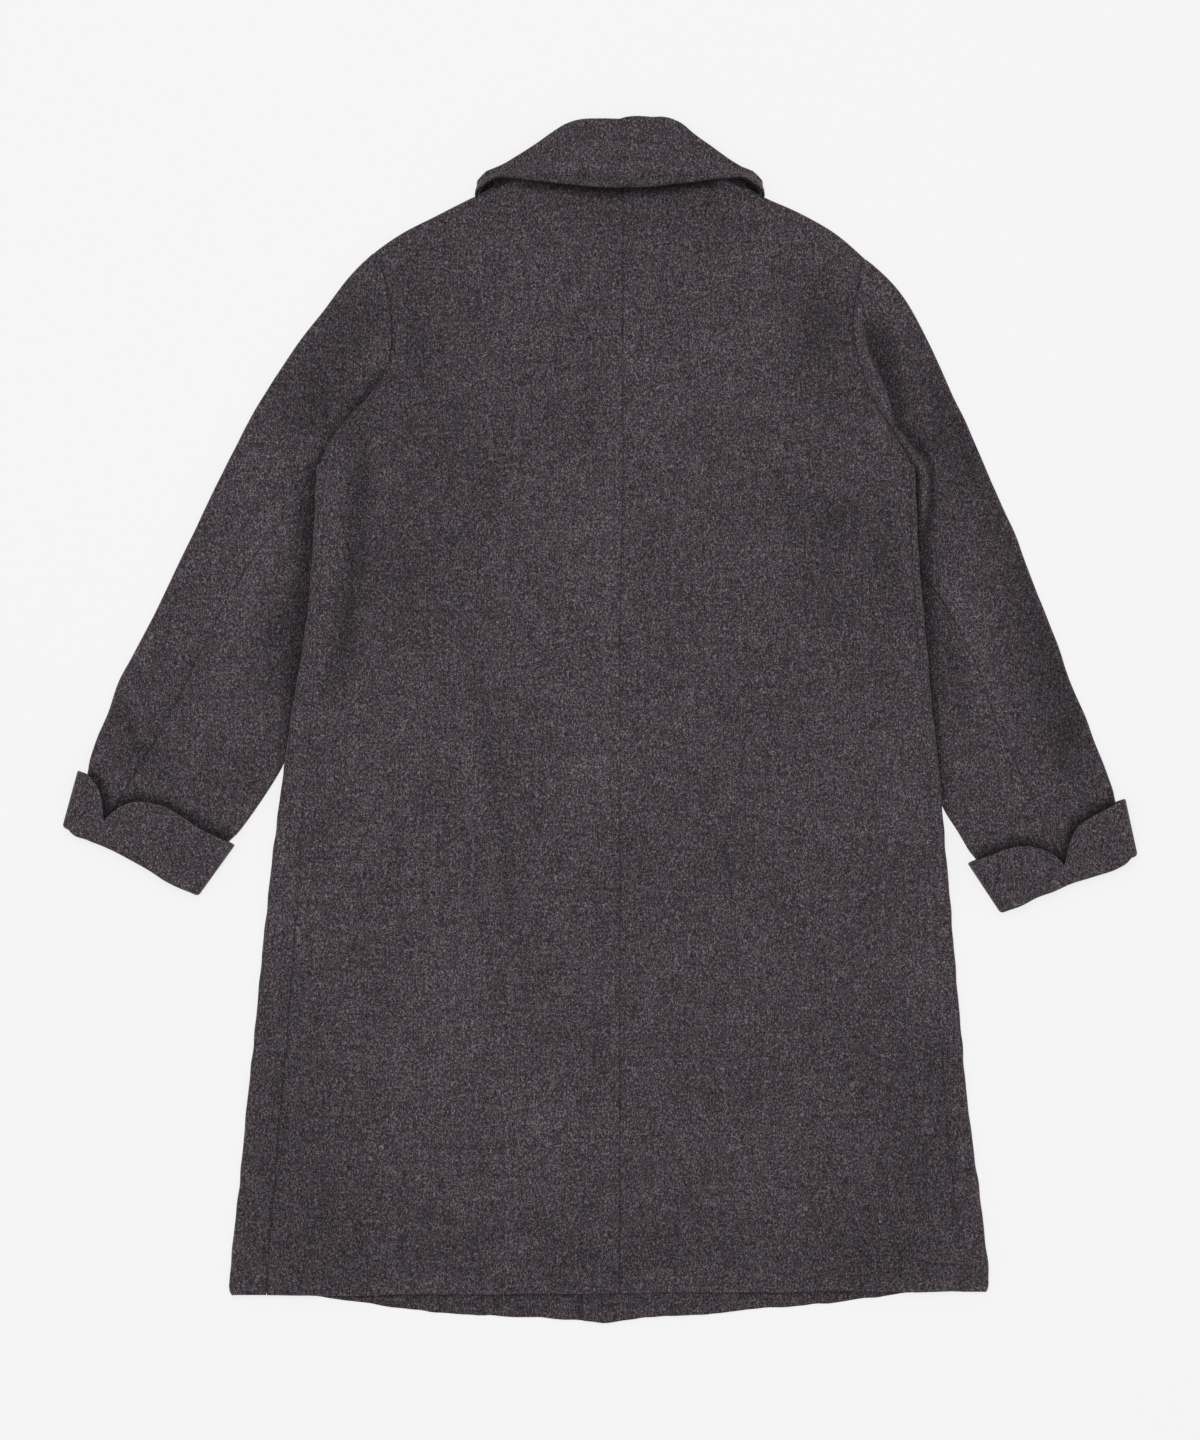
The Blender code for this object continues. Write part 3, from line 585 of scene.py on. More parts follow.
def uneven(x, y, what):
    """Soft unevenness: a sum of waves in seeded directions, one pair for each wave length in UNEVEN."""
    seed, lengths, height = UNEVEN[what]
    rng = np.random.default_rng(seed)
    total = np.zeros(np.shape(x))
    for length in np.repeat(lengths, 2):
        angle, phase = rng.uniform(0, 2 * pi, 2)
        total += np.sin((x * np.cos(angle) + y * np.sin(angle)) * 2 * pi / length + phase) * length
    return height * total / np.sum(lengths)


# Heights of the layers, at the middle of the cloth

def edge_of(side, y):
    """The body's side in plan, a little uneven."""
    return smooth(y, BODY["y"], BODY[side + "_edge"]) + uneven(y, 0 * y, "side")


def body_edge(side, y):
    """The body's edge in plan at height y: its side, and above the underarm its armhole."""
    seam = plan(ARMHOLE[side])[::-1]
    return np.where(y > UNDERARM, np.interp(y, seam[:, 1], seam[:, 0]), edge_of(side, y))


def lift(x, y):
    """How far what lies underneath raises the front: collar, tucked sleeves and buttons, blended."""
    from_neck = np.hypot((x - CENTRE) / NECK_OVAL[0], (y - NECK_SIDE) / NECK_OVAL[1])
    heights = [NECK_LIFT * (1 - ramp(from_neck, 1, NECK_FADE))]
    for side, (start, full, last, end) in TUCK.items():
        inside = facing(side) * (body_edge(side, y) - x)
        along = ramp(y, start, full) * (1 - ramp(-y, -last, -end))
        heights.append(TUCK_LIFT * along * (1 - ramp(inside, *TUCK_WIDTH)))
    below = BUTTON_TOP - (BUTTONS - 1) * BUTTON_STEP - y
    above = y - BUTTON_TOP
    at_buttons = (1 - ramp(below, *BUTTON_BELOW)) * (1 - ramp(above, *BUTTON_ABOVE))
    heights.append(BUTTON_LIFT * at_buttons * (1 - ramp(abs(x - CENTRE), *BUTTON_WIDTH)))
    return sum(height ** BLEND for height in heights) ** (1 / BLEND)


def back_relief(x, y):
    """Creases and unevenness of the back, which lies free on the fronts."""
    return creased(x, y, BACK_CREASES) + uneven(x, y, "back")


def back_puff(x, y):
    """The back stands up in the middle and comes down to its edges, and its hem stands off the fronts."""
    inside = np.minimum(*[facing(side) * (body_edge(side, y) - x) for side in ("left", "right")])
    along = ramp(y, BACK_HEM, BACK_HEM + PUFF_HEM) * (1 - ramp(y, *PUFF_SHOULDER))
    at_hem = 1 - ramp(y, BACK_HEM, BACK_HEM + FLARE_HEIGHT)
    return BACK_PUFF * ramp(inside, *PUFF_SIDES) * along + HEM_FLARE * ramp(inside, *FLARE_SIDES) * at_hem


def front_relief(x, y):
    """Creases of the fronts, which rise off the surface they lie on."""
    free = 1 - ramp(np.abs(x - CENTRE), OVERLAP + FRONT_CREASE_START, OVERLAP)
    return np.maximum(creased(x, y, FRONT_CREASES), 0) * free


def front_height(x, y, over=0.0):
    """over is 1 on the front that lies on the other one, as far as the other one's edge."""
    laid_on = over * CLOTH * (1 - ramp(x - CENTRE - OVERLAP, *OVERLAP_RAMP))
    return CLOTH / 2 + lift(x, y) + laid_on + front_relief(x, y)


def back_height(x, y):
    relief = np.maximum(back_puff(x, y) + CREASE_DEPTH * back_relief(x, y), DEEPEST)
    return CLOTH / 2 + LAYERS_APART + lift(x, y) + relief


def raised(points, height):
    return np.concatenate([points, height(points[..., 0], points[..., 1])[..., None]], -1)


def rolled(axis, outward, bottom, top, turns):
    """A half turn of cloth about a fold. turns runs from 0 at the top layer to 1 at the bottom one."""
    radius = (top - bottom)[:, None] / 2
    angle = pi * turns[None, :]
    flat = axis[:, None] + outward[:, None] * (radius * np.sin(angle))[..., None]
    return np.concatenate([flat, (bottom[:, None] + radius * (1 + np.cos(angle)))[..., None]], -1)


# Outlines of the panels in plan

TURNS = np.linspace(0, 1, 13)
ARM_STATIONS = np.linspace(0, 1, 129)


def upper_axis(side):
    """The fold's axis under the upper outline, and the share of its length at the shoulder point."""
    edge = plan(UPPER_EDGE[side])
    axis = edge - facing(side) * RIM * normals(edge)
    steps = np.linalg.norm(np.diff(axis, axis=0), axis=1)
    return axis, steps[:SHOULDER_ROWS - 1].sum() / steps.sum()


def armhole(side, share):
    """The armhole seam from the underarm, at share 0, to the shoulder fold, at share 1."""
    axis, at_shoulder = upper_axis(side)
    seam = np.concatenate([path(axis, np.array([at_shoulder])), plan(ARMHOLE[side])])
    return path(seam[::-1], share)


def neck(x, lowest):
    """The neck edge of the back or of a front, a parabola."""
    return lowest + (NECK_SIDE - lowest) * np.minimum(abs(x - CENTRE) / NECK_HALF, 1) ** 2


def neck_and_shoulder(side, start, lowest, inset, columns):
    """The top edge of a panel: along the neck as far as NECK_SHARE, then along the shoulder."""
    axis, at_shoulder = upper_axis(side)
    share = (columns[columns >= NECK_SHARE] - NECK_SHARE) / (1 - NECK_SHARE)
    along = path(axis, at_shoulder * share)
    along = along - facing(side) * inset * normals(along)
    x = start + (along[0, 0] - start) * columns[columns < NECK_SHARE] / NECK_SHARE
    return np.concatenate([np.stack([x, neck(x, lowest)], -1), along])


def patch(inner, outer, bottom, top, rows, columns):
    """A sheet between four rows of points that meet at its corners: a Coons patch, [row, column]."""
    v, u = rows[:, None, None], columns[None, :, None]
    ruled = (1 - u) * inner[:, None] + u * outer[:, None] + (1 - v) * bottom + v * top
    corners = (1 - v) * ((1 - u) * bottom[0] + u * bottom[-1]) + v * ((1 - u) * top[0] + u * top[-1])
    return ruled - corners


LOW_LENGTH = UNDERARM - BACK_HEM
LOW_ROWS = spaced(LOW_LENGTH, STEP["length"], end=False)
ARM_ROWS = np.linspace(0, 1, 72)
PANEL_WIDTH = 330.0


def panel_columns():
    """Columns from a panel's inner edge to its outer one, with one at the neck's end."""
    at_neck = NECK_SHARE * PANEL_WIDTH
    along_neck = spaced(at_neck, STEP["width"], end=False) * NECK_SHARE
    along_shoulder = spaced(PANEL_WIDTH - at_neck, STEP["width"], start=False)
    return np.concatenate([along_neck, NECK_SHARE + along_shoulder[1:] * (1 - NECK_SHARE)])


def body_patch(side, inner_x, outer_x, hem, top, columns):
    """A panel in plan: below the underarm, and above it as far as the armhole. [row, column, 2]"""
    low_y = BACK_HEM + LOW_LENGTH * LOW_ROWS
    start, end = inner_x(low_y), outer_x(low_y)
    x = start[:, None] + (end - start)[:, None] * columns
    y = low_y[:, None] + (hem(x) - BACK_HEM) * (1 - LOW_ROWS[:, None])
    low = np.stack([x, y], -1)
    arm = armhole(side, ARM_ROWS)
    arm[0], arm[-1] = low[-1, -1], top[-1]
    centre_y = UNDERARM + (top[0, 1] - UNDERARM) * ARM_ROWS
    inner = np.stack([inner_x(centre_y), centre_y], -1)
    high = patch(inner, arm, low[-1], top, ARM_ROWS, columns)
    return np.concatenate([low, high[1:]])


# Walls

SWEEPS = 7
FAR = 1e3


def squares(rows, columns, closed=False, ring=False):
    """Corner numbers of a grid's squares, in order round each one. [row, column, 4]

    closed joins the last column to the first, and ring the last row to the first.
    """
    number = np.arange(rows * columns).reshape(rows, columns)
    number = np.pad(number, ((0, int(ring)), (0, int(closed))), mode="wrap")
    return np.stack([number[:-1, :-1], number[:-1, 1:], number[1:, 1:], number[1:, :-1]], -1)


def free_points(faces, count):
    """Marks the points on a free edge: one that only one face has."""
    pairs = np.sort(np.stack([faces, np.roll(faces, -1, 1)], -1).reshape(-1, 2), axis=1)
    _, first, times = np.unique(pairs[:, 0] * count + pairs[:, 1], return_index=True, return_counts=True)
    marked = np.zeros(count, bool)
    marked[pairs[first[times == 1]]] = True
    return marked


def from_edge(mid, on_edge, closed):
    """Distance along the grid from the nearest edge point, handed on from neighbour to neighbour."""
    reach = np.where(on_edge, 0.0, FAR)
    for _ in range(SWEEPS):
        for axis, shift in ((0, 1), (0, -1), (1, 1), (1, -1)):
            near = np.roll(reach, shift, axis) + np.linalg.norm(mid - np.roll(mid, shift, axis), axis=-1)
            if axis == 0 or not closed:
                wrapped = [slice(None), slice(None)]
                wrapped[axis] = 0 if shift == 1 else -1
                near[tuple(wrapped)] = FAR
            reach = np.minimum(reach, near)
    return reach


def upright(mid, closed):
    """Unit normals of a grid: across its columns times along its rows."""
    if closed:
        along = np.roll(mid, -1, 1) - np.roll(mid, 1, 1)
    else:
        along = np.gradient(mid, axis=1)
    normal = np.cross(along, np.gradient(mid, axis=0))
    return normal / np.maximum(np.linalg.norm(normal, axis=-1, keepdims=True), 1e-9)


def add_mesh(name, points, faces, material):
    """faces is a list of arrays of corner numbers, one array for each number of corners."""
    mesh = bpy.data.meshes.new(name)
    mesh.from_pydata((points * MM).tolist(), [], [face for kind in faces for face in kind.tolist()])
    mesh.shade_smooth()
    mesh.materials.append(material)
    obj = bpy.data.objects.new(name, mesh)
    bpy.context.scene.collection.objects.link(obj)
    return obj


def wall(name, mid, thickness, roll, material, nap, missing=None, closed=False, inside=0.0):
    """A closed wall on a grid of points [row, column, 3].

    Each point goes half the thickness to both sides along the grid's normal. Within roll of a cut edge the
    half thickness falls to nothing as a quarter of an ellipse, so that the edge is round and closed.
    nap is the painted highlight and shade that scale the cloth's colour, and inside is added to it on the
    side that the normal points to.
    """
    rows, columns = mid.shape[:2]
    count = rows * columns
    faces = squares(rows, columns, closed)
    faces = faces.reshape(-1, 4) if missing is None else faces[~missing]
    on_edge = free_points(faces, count).reshape(rows, columns)
    share = np.minimum(from_edge(mid, on_edge, closed) / roll, 1)
    half = thickness / 2 * np.sqrt(1 - (1 - share) ** 2)
    offset = (upright(mid, closed) * half[..., None]).reshape(-1, 3)
    middle = mid.reshape(-1, 3)
    points = np.concatenate([middle + offset, middle - offset])
    lower = np.where(on_edge.reshape(-1)[faces], faces, faces + count)[:, ::-1]
    used, every = np.unique(np.concatenate([faces, lower]), return_inverse=True)
    obj = add_mesh(name, points[used], [every.reshape(-1, 4)], material)
    mark(obj, "nap", nap.reshape(-1)[used % count] + inside * (used < count))
    return obj


def mark(obj, name, values):
    """Gives each point of a mesh a number, for its material to read."""
    field = obj.data.attributes.new(name, "FLOAT", "POINT")
    field.data.foreach_set("value", values.astype(np.float32))


def add_rings(name, rings, start, end, material):
    """A closed surface on rings of points [ring, point, 3] between two poles, at start and end."""
    count, size = rings.shape[:2]
    points = np.concatenate([rings.reshape(-1, 3), [start, end]])
    first = np.arange(size)
    after = np.roll(first, -1)
    last = (count - 1) * size
    start_fan = np.stack([0 * first + count * size, after, first], -1)
    end_fan = np.stack([0 * first + count * size + 1, first + last, after + last], -1)
    return add_mesh(name, points, [squares(count, size, True).reshape(-1, 4), start_fan, end_fan], material)


# Pieces

def painted_light_of(relief):
    """Painted highlight and shade in the colour: lighter on ridges and darker in troughs, within limits."""
    return np.clip(PAINTED_RELIEF_LIGHT * relief, *PAINTED_LIGHT_LIMITS)


def hem_of_back(x):
    """The back's hem: straight, with a slight slope and a slow waver."""
    return BACK_HEM - HEM_FUZZ + HEM_SLOPE * (x - CENTRE) + uneven(x, 0 * x, "back_hem")


def hem_of_front(x):
    """The fronts hang lowest at the centre and meet the back's hem near the sides."""
    return smooth(x, FRONT_HEM["x"], FRONT_HEM["y"]) - HEM_FUZZ + uneven(x, 0 * x, "front_hem")


def centre_line(y):
    return CENTRE + (CENTRE_AT_NECK - CENTRE) * ramp(y, *CENTRE_BEND)


def side_seam(side, y):
    """Where the front's strip over the edge meets the back."""
    return edge_of(side, y) - facing(side) * smooth(y, BODY["y"], BODY[side + "_strip"])


def roll_at_armhole(side, sheet):
    """Lets the body's edge roll down to the sleeve along the lower armhole, and stand out over it.

    The edge sinks by a share of its rise, as a quarter of a circle over ARM_ROLL, and the points inside it
    move out along the seam's normal.
    """
    line = armhole(side, ARM_LINE)
    step = 0.02
    x, y, z = sheet[..., 0], sheet[..., 1], sheet[..., 2]
    distance, share = beside(x, y, line)
    inside = np.abs(distance)
    rise = lift(x, y) * (1 - ramp(share, *ARM_ROLL_END)) * (y > UNDERARM - 1)
    near = np.clip(1 - inside / ARM_ROLL, 0, 1)
    sunk = ARM_DROP * rise * (1 - np.sqrt(1 - near ** 2))
    out = ARM_OVERHANG * rise / TUCK_LIFT * 4 * near * (1 - near)
    ahead = path(line, np.clip(share + step, 0, 1)) - path(line, np.clip(share - step, 0, 1))
    across = facing(side) * np.stack([ahead[..., 1], -ahead[..., 0]], -1)
    across /= np.maximum(np.linalg.norm(across, axis=-1, keepdims=True), 1e-9)
    return np.concatenate([sheet[..., :2] + across * out[..., None], (z - sunk)[..., None]], -1)


def collar_line():
    """The collar's edge on the back, from the wearer's left to the right."""
    share = np.concatenate([-COLLAR["share"][:0:-1], COLLAR["share"]])
    x = CENTRE + (COLLAR_HALF - COLLAR_SIDE) * share
    return np.stack([x, smooth(abs(share), COLLAR["share"], COLLAR["back_edge"])], -1)


def add_back(side, material):
    """Centre back to side seam and armhole, and round the shoulder fold to its far side."""
    columns = panel_columns()
    top = neck_and_shoulder(side, centre_line(BACK_NECK), BACK_NECK, 0, columns)
    flat = body_patch(side, centre_line, lambda y: side_seam(side, y), hem_of_back, top, columns)
    sheet = raised(flat, back_height)
    last = sheet[-1]
    bottom = CLOTH / 2 + lift(last[:, 0], last[:, 1])
    outward = facing(side) * normals(flat[-1])
    turn = rolled(flat[-1], outward, bottom, last[:, 2], TURNS[1:]).transpose(1, 0, 2)
    tail = np.concatenate([flat[-1] - SHOULDER_TURN * outward, bottom[:, None]], -1)
    x, y = flat[..., 0], flat[..., 1]
    # Painted light in the colour: a highlight along the hem, shade along the centre back, side and armhole
    # seams, a shadow under the collar's edge, and lighter ridges and darker troughs
    at_hem = PAINTED_RIM_HIGHLIGHT * np.exp(-(y - hem_of_back(x)) / RIM_WIDTH)
    at_centre = PAINTED_SEAM_SHADE * bell(x - centre_line(y), SEAM_WIDTH)
    above, along = beside(x, y, collar_line())
    under_collar = COLLAR_SHADE * bell(above + COLLAR_SHADE_BELOW, COLLAR_SHADE_WIDTH)
    under_collar = under_collar * (1 - ramp(abs(2 * along - 1), *COLLAR_SHADE_END))
    at_side = PAINTED_SIDE_SEAM_SHADE * bell(x - side_seam(side, y), SEAM_WIDTH) * (y < UNDERARM)
    at_arm = PAINTED_ARM_SEAM_SHADE * bell(beside(x, y, armhole(side, ARM_LINE))[0], SEAM_WIDTH)
    nap = painted_light_of(back_relief(x, y)) + at_hem + at_centre + under_collar + at_side + at_arm
    nap = np.concatenate([nap, np.zeros((len(turn) + 1, len(columns)))])
    sheet = np.concatenate([roll_at_armhole(side, sheet), turn, tail[None]])
    missing = np.zeros((len(sheet) - 1, len(columns) - 1), bool)
    missing[len(flat) - 1:, :np.sum(columns < NECK_SHARE)] = True
    return wall("back_%s_cloth" % side, sheet, CLOTH, BODY_ROUND, material, nap, missing)


def add_front(side, over, material):
    """Front edge to the side fold, round it and on to the back as far as the side seam."""
    way = facing(side)
    columns = panel_columns()
    top = neck_and_shoulder(side, CENTRE - way * OVERLAP, FRONT_NECK, SHOULDER_TURN, columns)
    flat = body_patch(
        side,
        lambda y: np.full_like(y, CENTRE - way * OVERLAP),
        lambda y: edge_of(side, y) - way * RIM,
        hem_of_front,
        top,
        columns,
    )
    sheet = raised(flat, lambda x, y: front_height(x, y, over))
    rows = len(LOW_ROWS)
    axis = flat[:rows, -1]
    seam = np.stack([side_seam(side, axis[:, 1]), axis[:, 1]], -1)
    share = spaced(STRIP_WIDTH, STEP["strip"], start=False)[1:]
    strip = raised(axis[:, None] + (seam - axis)[:, None] * share[None, :, None], back_height)
    bottom = sheet[:rows, -1, 2]
    outward = np.tile([float(way), 0.0], (rows, 1))
    turn = rolled(axis, outward, bottom, back_height(axis[:, 0], axis[:, 1]), TURNS[::-1][1:])
    beyond = np.concatenate([turn, strip], 1)
    above = np.repeat(sheet[rows:, -1:], beyond.shape[1], 1)
    # Painted light in the colour: lighter ridges and darker troughs, shade where the fronts show under the
    # back's hem, a shadow beside the other front's edge, and shade at the side seam
    nap = painted_light_of(front_relief(flat[..., 0], flat[..., 1]))
    nap = nap + HEM_SHADE * (1 - ramp(flat[..., 1], *HEM_SHADE_RAMP))
    if not over:
        beside_edge = flat[..., 0] - CENTRE + OVERLAP + EDGE_SHADE_WIDTH
        nap = nap + EDGE_SHADE * bell(beside_edge, EDGE_SHADE_WIDTH)
    turn_painted_light = np.zeros((rows, turn.shape[1]))
    strip_painted_light = painted_light_of(back_relief(strip[..., 0], strip[..., 1]))
    strip_painted_light = strip_painted_light + PAINTED_SIDE_SEAM_SHADE * bell((1 - share) * STRIP_WIDTH, SEAM_WIDTH)
    beyond_painted_light = np.concatenate([turn_painted_light, strip_painted_light], 1)
    beyond_painted_light = np.concatenate([beyond_painted_light, np.zeros((len(sheet) - rows, beyond.shape[1]))])
    nap = np.concatenate([nap, beyond_painted_light], 1)
    sheet = np.concatenate([sheet, np.concatenate([beyond, above])], 1)
    missing = np.zeros((len(sheet) - 1, sheet.shape[1] - 1), bool)
    missing[rows - 1:, len(columns) - 1:] = True
    return wall("front_%s_cloth" % side, sheet, CLOTH, BODY_ROUND, material, nap, missing)


def sleeve_point(side, across, along):
    """Plan points of a sleeve, across from its outer fold to its inner one and along to the wrist.

    Each section is a straight line between the two fold axes. Near the armhole it takes on that seam's
    curve, and towards the underarm it runs in under the body.
    """
    upper, at_shoulder = upper_axis(side)
    edge = plan(INNER_EDGE[side])
    inner_axis = edge + facing(side) * RIM * normals(edge)
    seam = armhole(side, ARM_STATIONS[::-1])
    under = TUCK_IN * ramp(ARM_STATIONS, *TUCK_IN_SHARE[side])
    cap = seam - facing(side) * under[:, None] * normals(seam)
    cap[-1] = inner_axis[0]
    a, t = across[..., None], along[..., None]
    outer = path(upper, at_shoulder + (1 - at_shoulder) * along)
    waver = uneven(outer[..., 0], outer[..., 1], "sleeve_fold") * ramp(along, *WAVER_START)
    outer = outer + waver[..., None]
    inner = path(inner_axis, smooth(along, SLEEVE_PACE["outer"], SLEEVE_PACE["inner"]))
    at_cap = np.stack([np.interp(across, ARM_STATIONS, cap[:, axis]) for axis in (0, 1)], -1)
    straight = (1 - a) * cap[0] + a * cap[-1]
    curve_left = np.maximum(1 - t / CAP_REACH, 0) ** (1 + CAP_DECAY * a ** CAP_DECAY_POWER)
    return (1 - a) * outer + a * inner + curve_left * (at_cap - straight)


def body_line(side):
    """The armhole from the shoulder to the underarm, and the body's edge on down from there, in plan."""
    low = np.stack([edge_of(side, BODY_LINE_LOW), BODY_LINE_LOW], -1)
    return np.concatenate([armhole(side, BODY_LINE_ARM), low])


def from_cuff(side, x, y):
    """Distance in plan from the cuff's free edge on the shown side."""
    edge = cuff_plan(side, CUFF_STATIONS, cuff_edge(side, CUFF_STATIONS))
    return beside(x, y, edge, count=50)[0]


def drag_fold(x, y, outside):
    """The fold beside the right armhole: level as far as its line, with a steep fall and a hollow beyond."""
    distance, share = beside(x, y, DRAG_FOLD)
    level = ramp(-distance, *DRAG_FALL) * ramp(outside, *DRAG_START)
    width = DRAG_WIDTH[0] + (DRAG_WIDTH[1] - DRAG_WIDTH[0]) * ramp(share, *DRAG_NARROWS)
    hollow = bell(distance - width / 3, width) * ramp(distance, *DRAG_HOLLOW_START)
    return ends(share, DRAG_ENDS) * (DRAG_HEIGHT * level - DRAG_HOLLOW * hollow)


def underarm_roll(x, y):
    """The small roll of cloth at the right underarm, with a trough beside it and a pit."""
    distance, share = beside(x, y, UNDERARM_ROLL)
    trough, pit = UNDERARM_TROUGH, UNDERARM_PIT
    roll = UNDERARM_ROLL_HEIGHT * bell(distance, UNDERARM_ROLL_WIDTH)
    roll = roll - trough["depth"] * bell(distance - trough["place"], trough["width"])
    from_pit = np.hypot(x - pit["x"], y - pit["y"])
    return ends(share, UNDERARM_ENDS) * roll - pit["depth"] * bell(from_pit, pit["width"])


def sleeve_relief(side, x, y):
    """Creases of a sleeve's top layer, the trough in which it goes under the body and the dip at its cuff."""
    outside = facing(side) * beside(x, y, body_line(side), count=60)[0]
    table = SLEEVE_TROUGH[side]
    depth = np.interp(y, table["y"], table["depth"])
    width = np.interp(y, table["y"], table["width"])
    trough = depth * np.exp(-(np.maximum(outside, 0) / width) ** TROUGH_POWER)
    height = creased(x, y, SLEEVE_CREASES[side]) + uneven(x, y, "sleeve")
    if side == "right":
        height = height + drag_fold(x, y, outside) + underarm_roll(x, y)
    dip = CUFF_DIP * bell(from_cuff(side, x, y), CUFF_DIP_WIDTH)
    return height * ramp(outside, *SLEEVE_CLEAR) - trough - dip


def add_sleeve(side, material):
    """The top sleeve from the back seam round the outer fold, and the under sleeve round the inner one."""
    along = spaced(SLEEVE_LENGTH, STEP["length"], end=False)
    bottom = CLOTH / 2 + CUFF_LIFT * ramp(along, *CUFF_RISE)
    table = SLEEVE_SEAM[side]
    back_seam = smooth(along, table["along"], table["across"])[:, None]
    front_seam = np.full_like(back_seam, FOREARM_SEAM)
    outer, inner = np.zeros_like(back_seam), np.ones_like(back_seam)

    def upper_relief(flat, across):
        x, y = flat[..., 0], flat[..., 1]
        between = ramp(along, *SLEEVE_PUFF_START) * (1 - ramp(along, *CUFF_RISE))
        puff = SLEEVE_PUFF * (4 * across * (1 - across)) ** SLEEVE_PUFF_POWER * between[:, None]
        free = ramp(facing(side) * (x - body_edge(side, y)), *SLEEVE_FREE)
        return np.maximum(puff * free + CREASE_DEPTH * sleeve_relief(side, x, y), DEEPEST)

    def face(start, end, shares, on_top):
        """Points [row, column, 3] with the painted highlight and shade as a fourth number."""
        across = start + (end - start) * shares
        flat = sleeve_point(side, across, np.broadcast_to(along[:, None], across.shape))
        x, y = flat[..., 0], flat[..., 1]
        height = np.broadcast_to(bottom[:, None], across.shape)
        tone = 0 * across
        if on_top:
            height = height + LAYERS_APART + upper_relief(flat, across)
            # Painted light in the colour: darker troughs and lighter ridges, a shadow at the cuff's free
            # edge, and shade along the seams
            tone = painted_light_of(sleeve_relief(side, x, y))
            tone += CUFF_SHADE * bell(from_cuff(side, x, y), CUFF_SHADE_WIDTH)
            tone += PAINTED_ARM_SEAM_SHADE * bell(along[:, None] * SLEEVE_LENGTH, SEAM_WIDTH)
            tone += PAINTED_SLEEVE_SEAM_SHADE * bell((across - back_seam) * SLEEVE_WIDTH, SEAM_WIDTH)
        return np.concatenate([flat, height[..., None], tone[..., None]], -1)

    def fold(across, turns):
        axis = sleeve_point(side, np.full_like(along, across), along)
        outward = facing(side) * (1 - 2 * across) * normals(axis)
        top = bottom + LAYERS_APART + upper_relief(axis[:, None], np.full((len(along), 1), across))[:, 0]
        points = rolled(axis, outward, bottom, top, turns)
        return np.concatenate([points, np.zeros((*points.shape[:2], 1))], -1)

    upper = (
        face(back_seam, outer, spaced(TOP_SLEEVE["shown"], STEP["sleeve"], end=False), True),
        fold(0, TURNS[1:-1]),
        face(outer, front_seam, spaced(TOP_SLEEVE["hidden"], STEP["width"], start=False), False),
    )
    under = (
        face(front_seam, inner, spaced(UNDER_SLEEVE["hidden"], STEP["sleeve"], end=False), False),
        fold(1, TURNS[::-1][1:-1]),
        face(inner, back_seam, spaced(UNDER_SLEEVE["shown"], STEP["under_sleeve"], start=False), True),
    )
    walls = []
    for name, parts in (("top", upper), ("under", under)):
        sheet = np.concatenate(parts, 1)
        points, tone = sheet[..., :3], sheet[..., 3]
        walls.append(wall("sleeve_%s_%s_cloth" % (side, name), points, CLOTH, SLEEVE_ROUND, material, tone))
    return walls


def cuff_edge(side, share):
    """Height of the cuff's free edge on the shown side: two rounded lobes that meet in a notch."""
    share = CUFF_INSET + share * (1 - 2 * CUFF_INSET)
    outer, inner = CUFF_LOBES[side]
    at_outer = smooth(share, outer["share"], outer["height"])
    at_inner = smooth(share, inner["share"], inner["height"])
    return np.where(share < CUFF_NOTCH[side], at_outer, at_inner)


def cuff_plan(side, share, height):
    """Plan points of a cuff's flat part: share of its width from the outer end, and of its height."""
    fold_outer, fold_inner = np.array(CUFF_CORNERS[side]["fold"], float)
    edge_outer, edge_inner = np.array(CUFF_CORNERS[side]["edge"], float)
    way = (fold_inner - fold_outer) / np.linalg.norm(fold_inner - fold_outer)
    from_end = way * (CUFF_RADIUS + CUFF_CLOTH / 2 - FUZZ)
    a, h = share[..., None], height[..., None]
    outer = (1 - h) * fold_outer + h * edge_outer + from_end
    inner = (1 - h) * fold_inner + h * edge_inner - from_end
    return (1 - a) * outer + a * inner


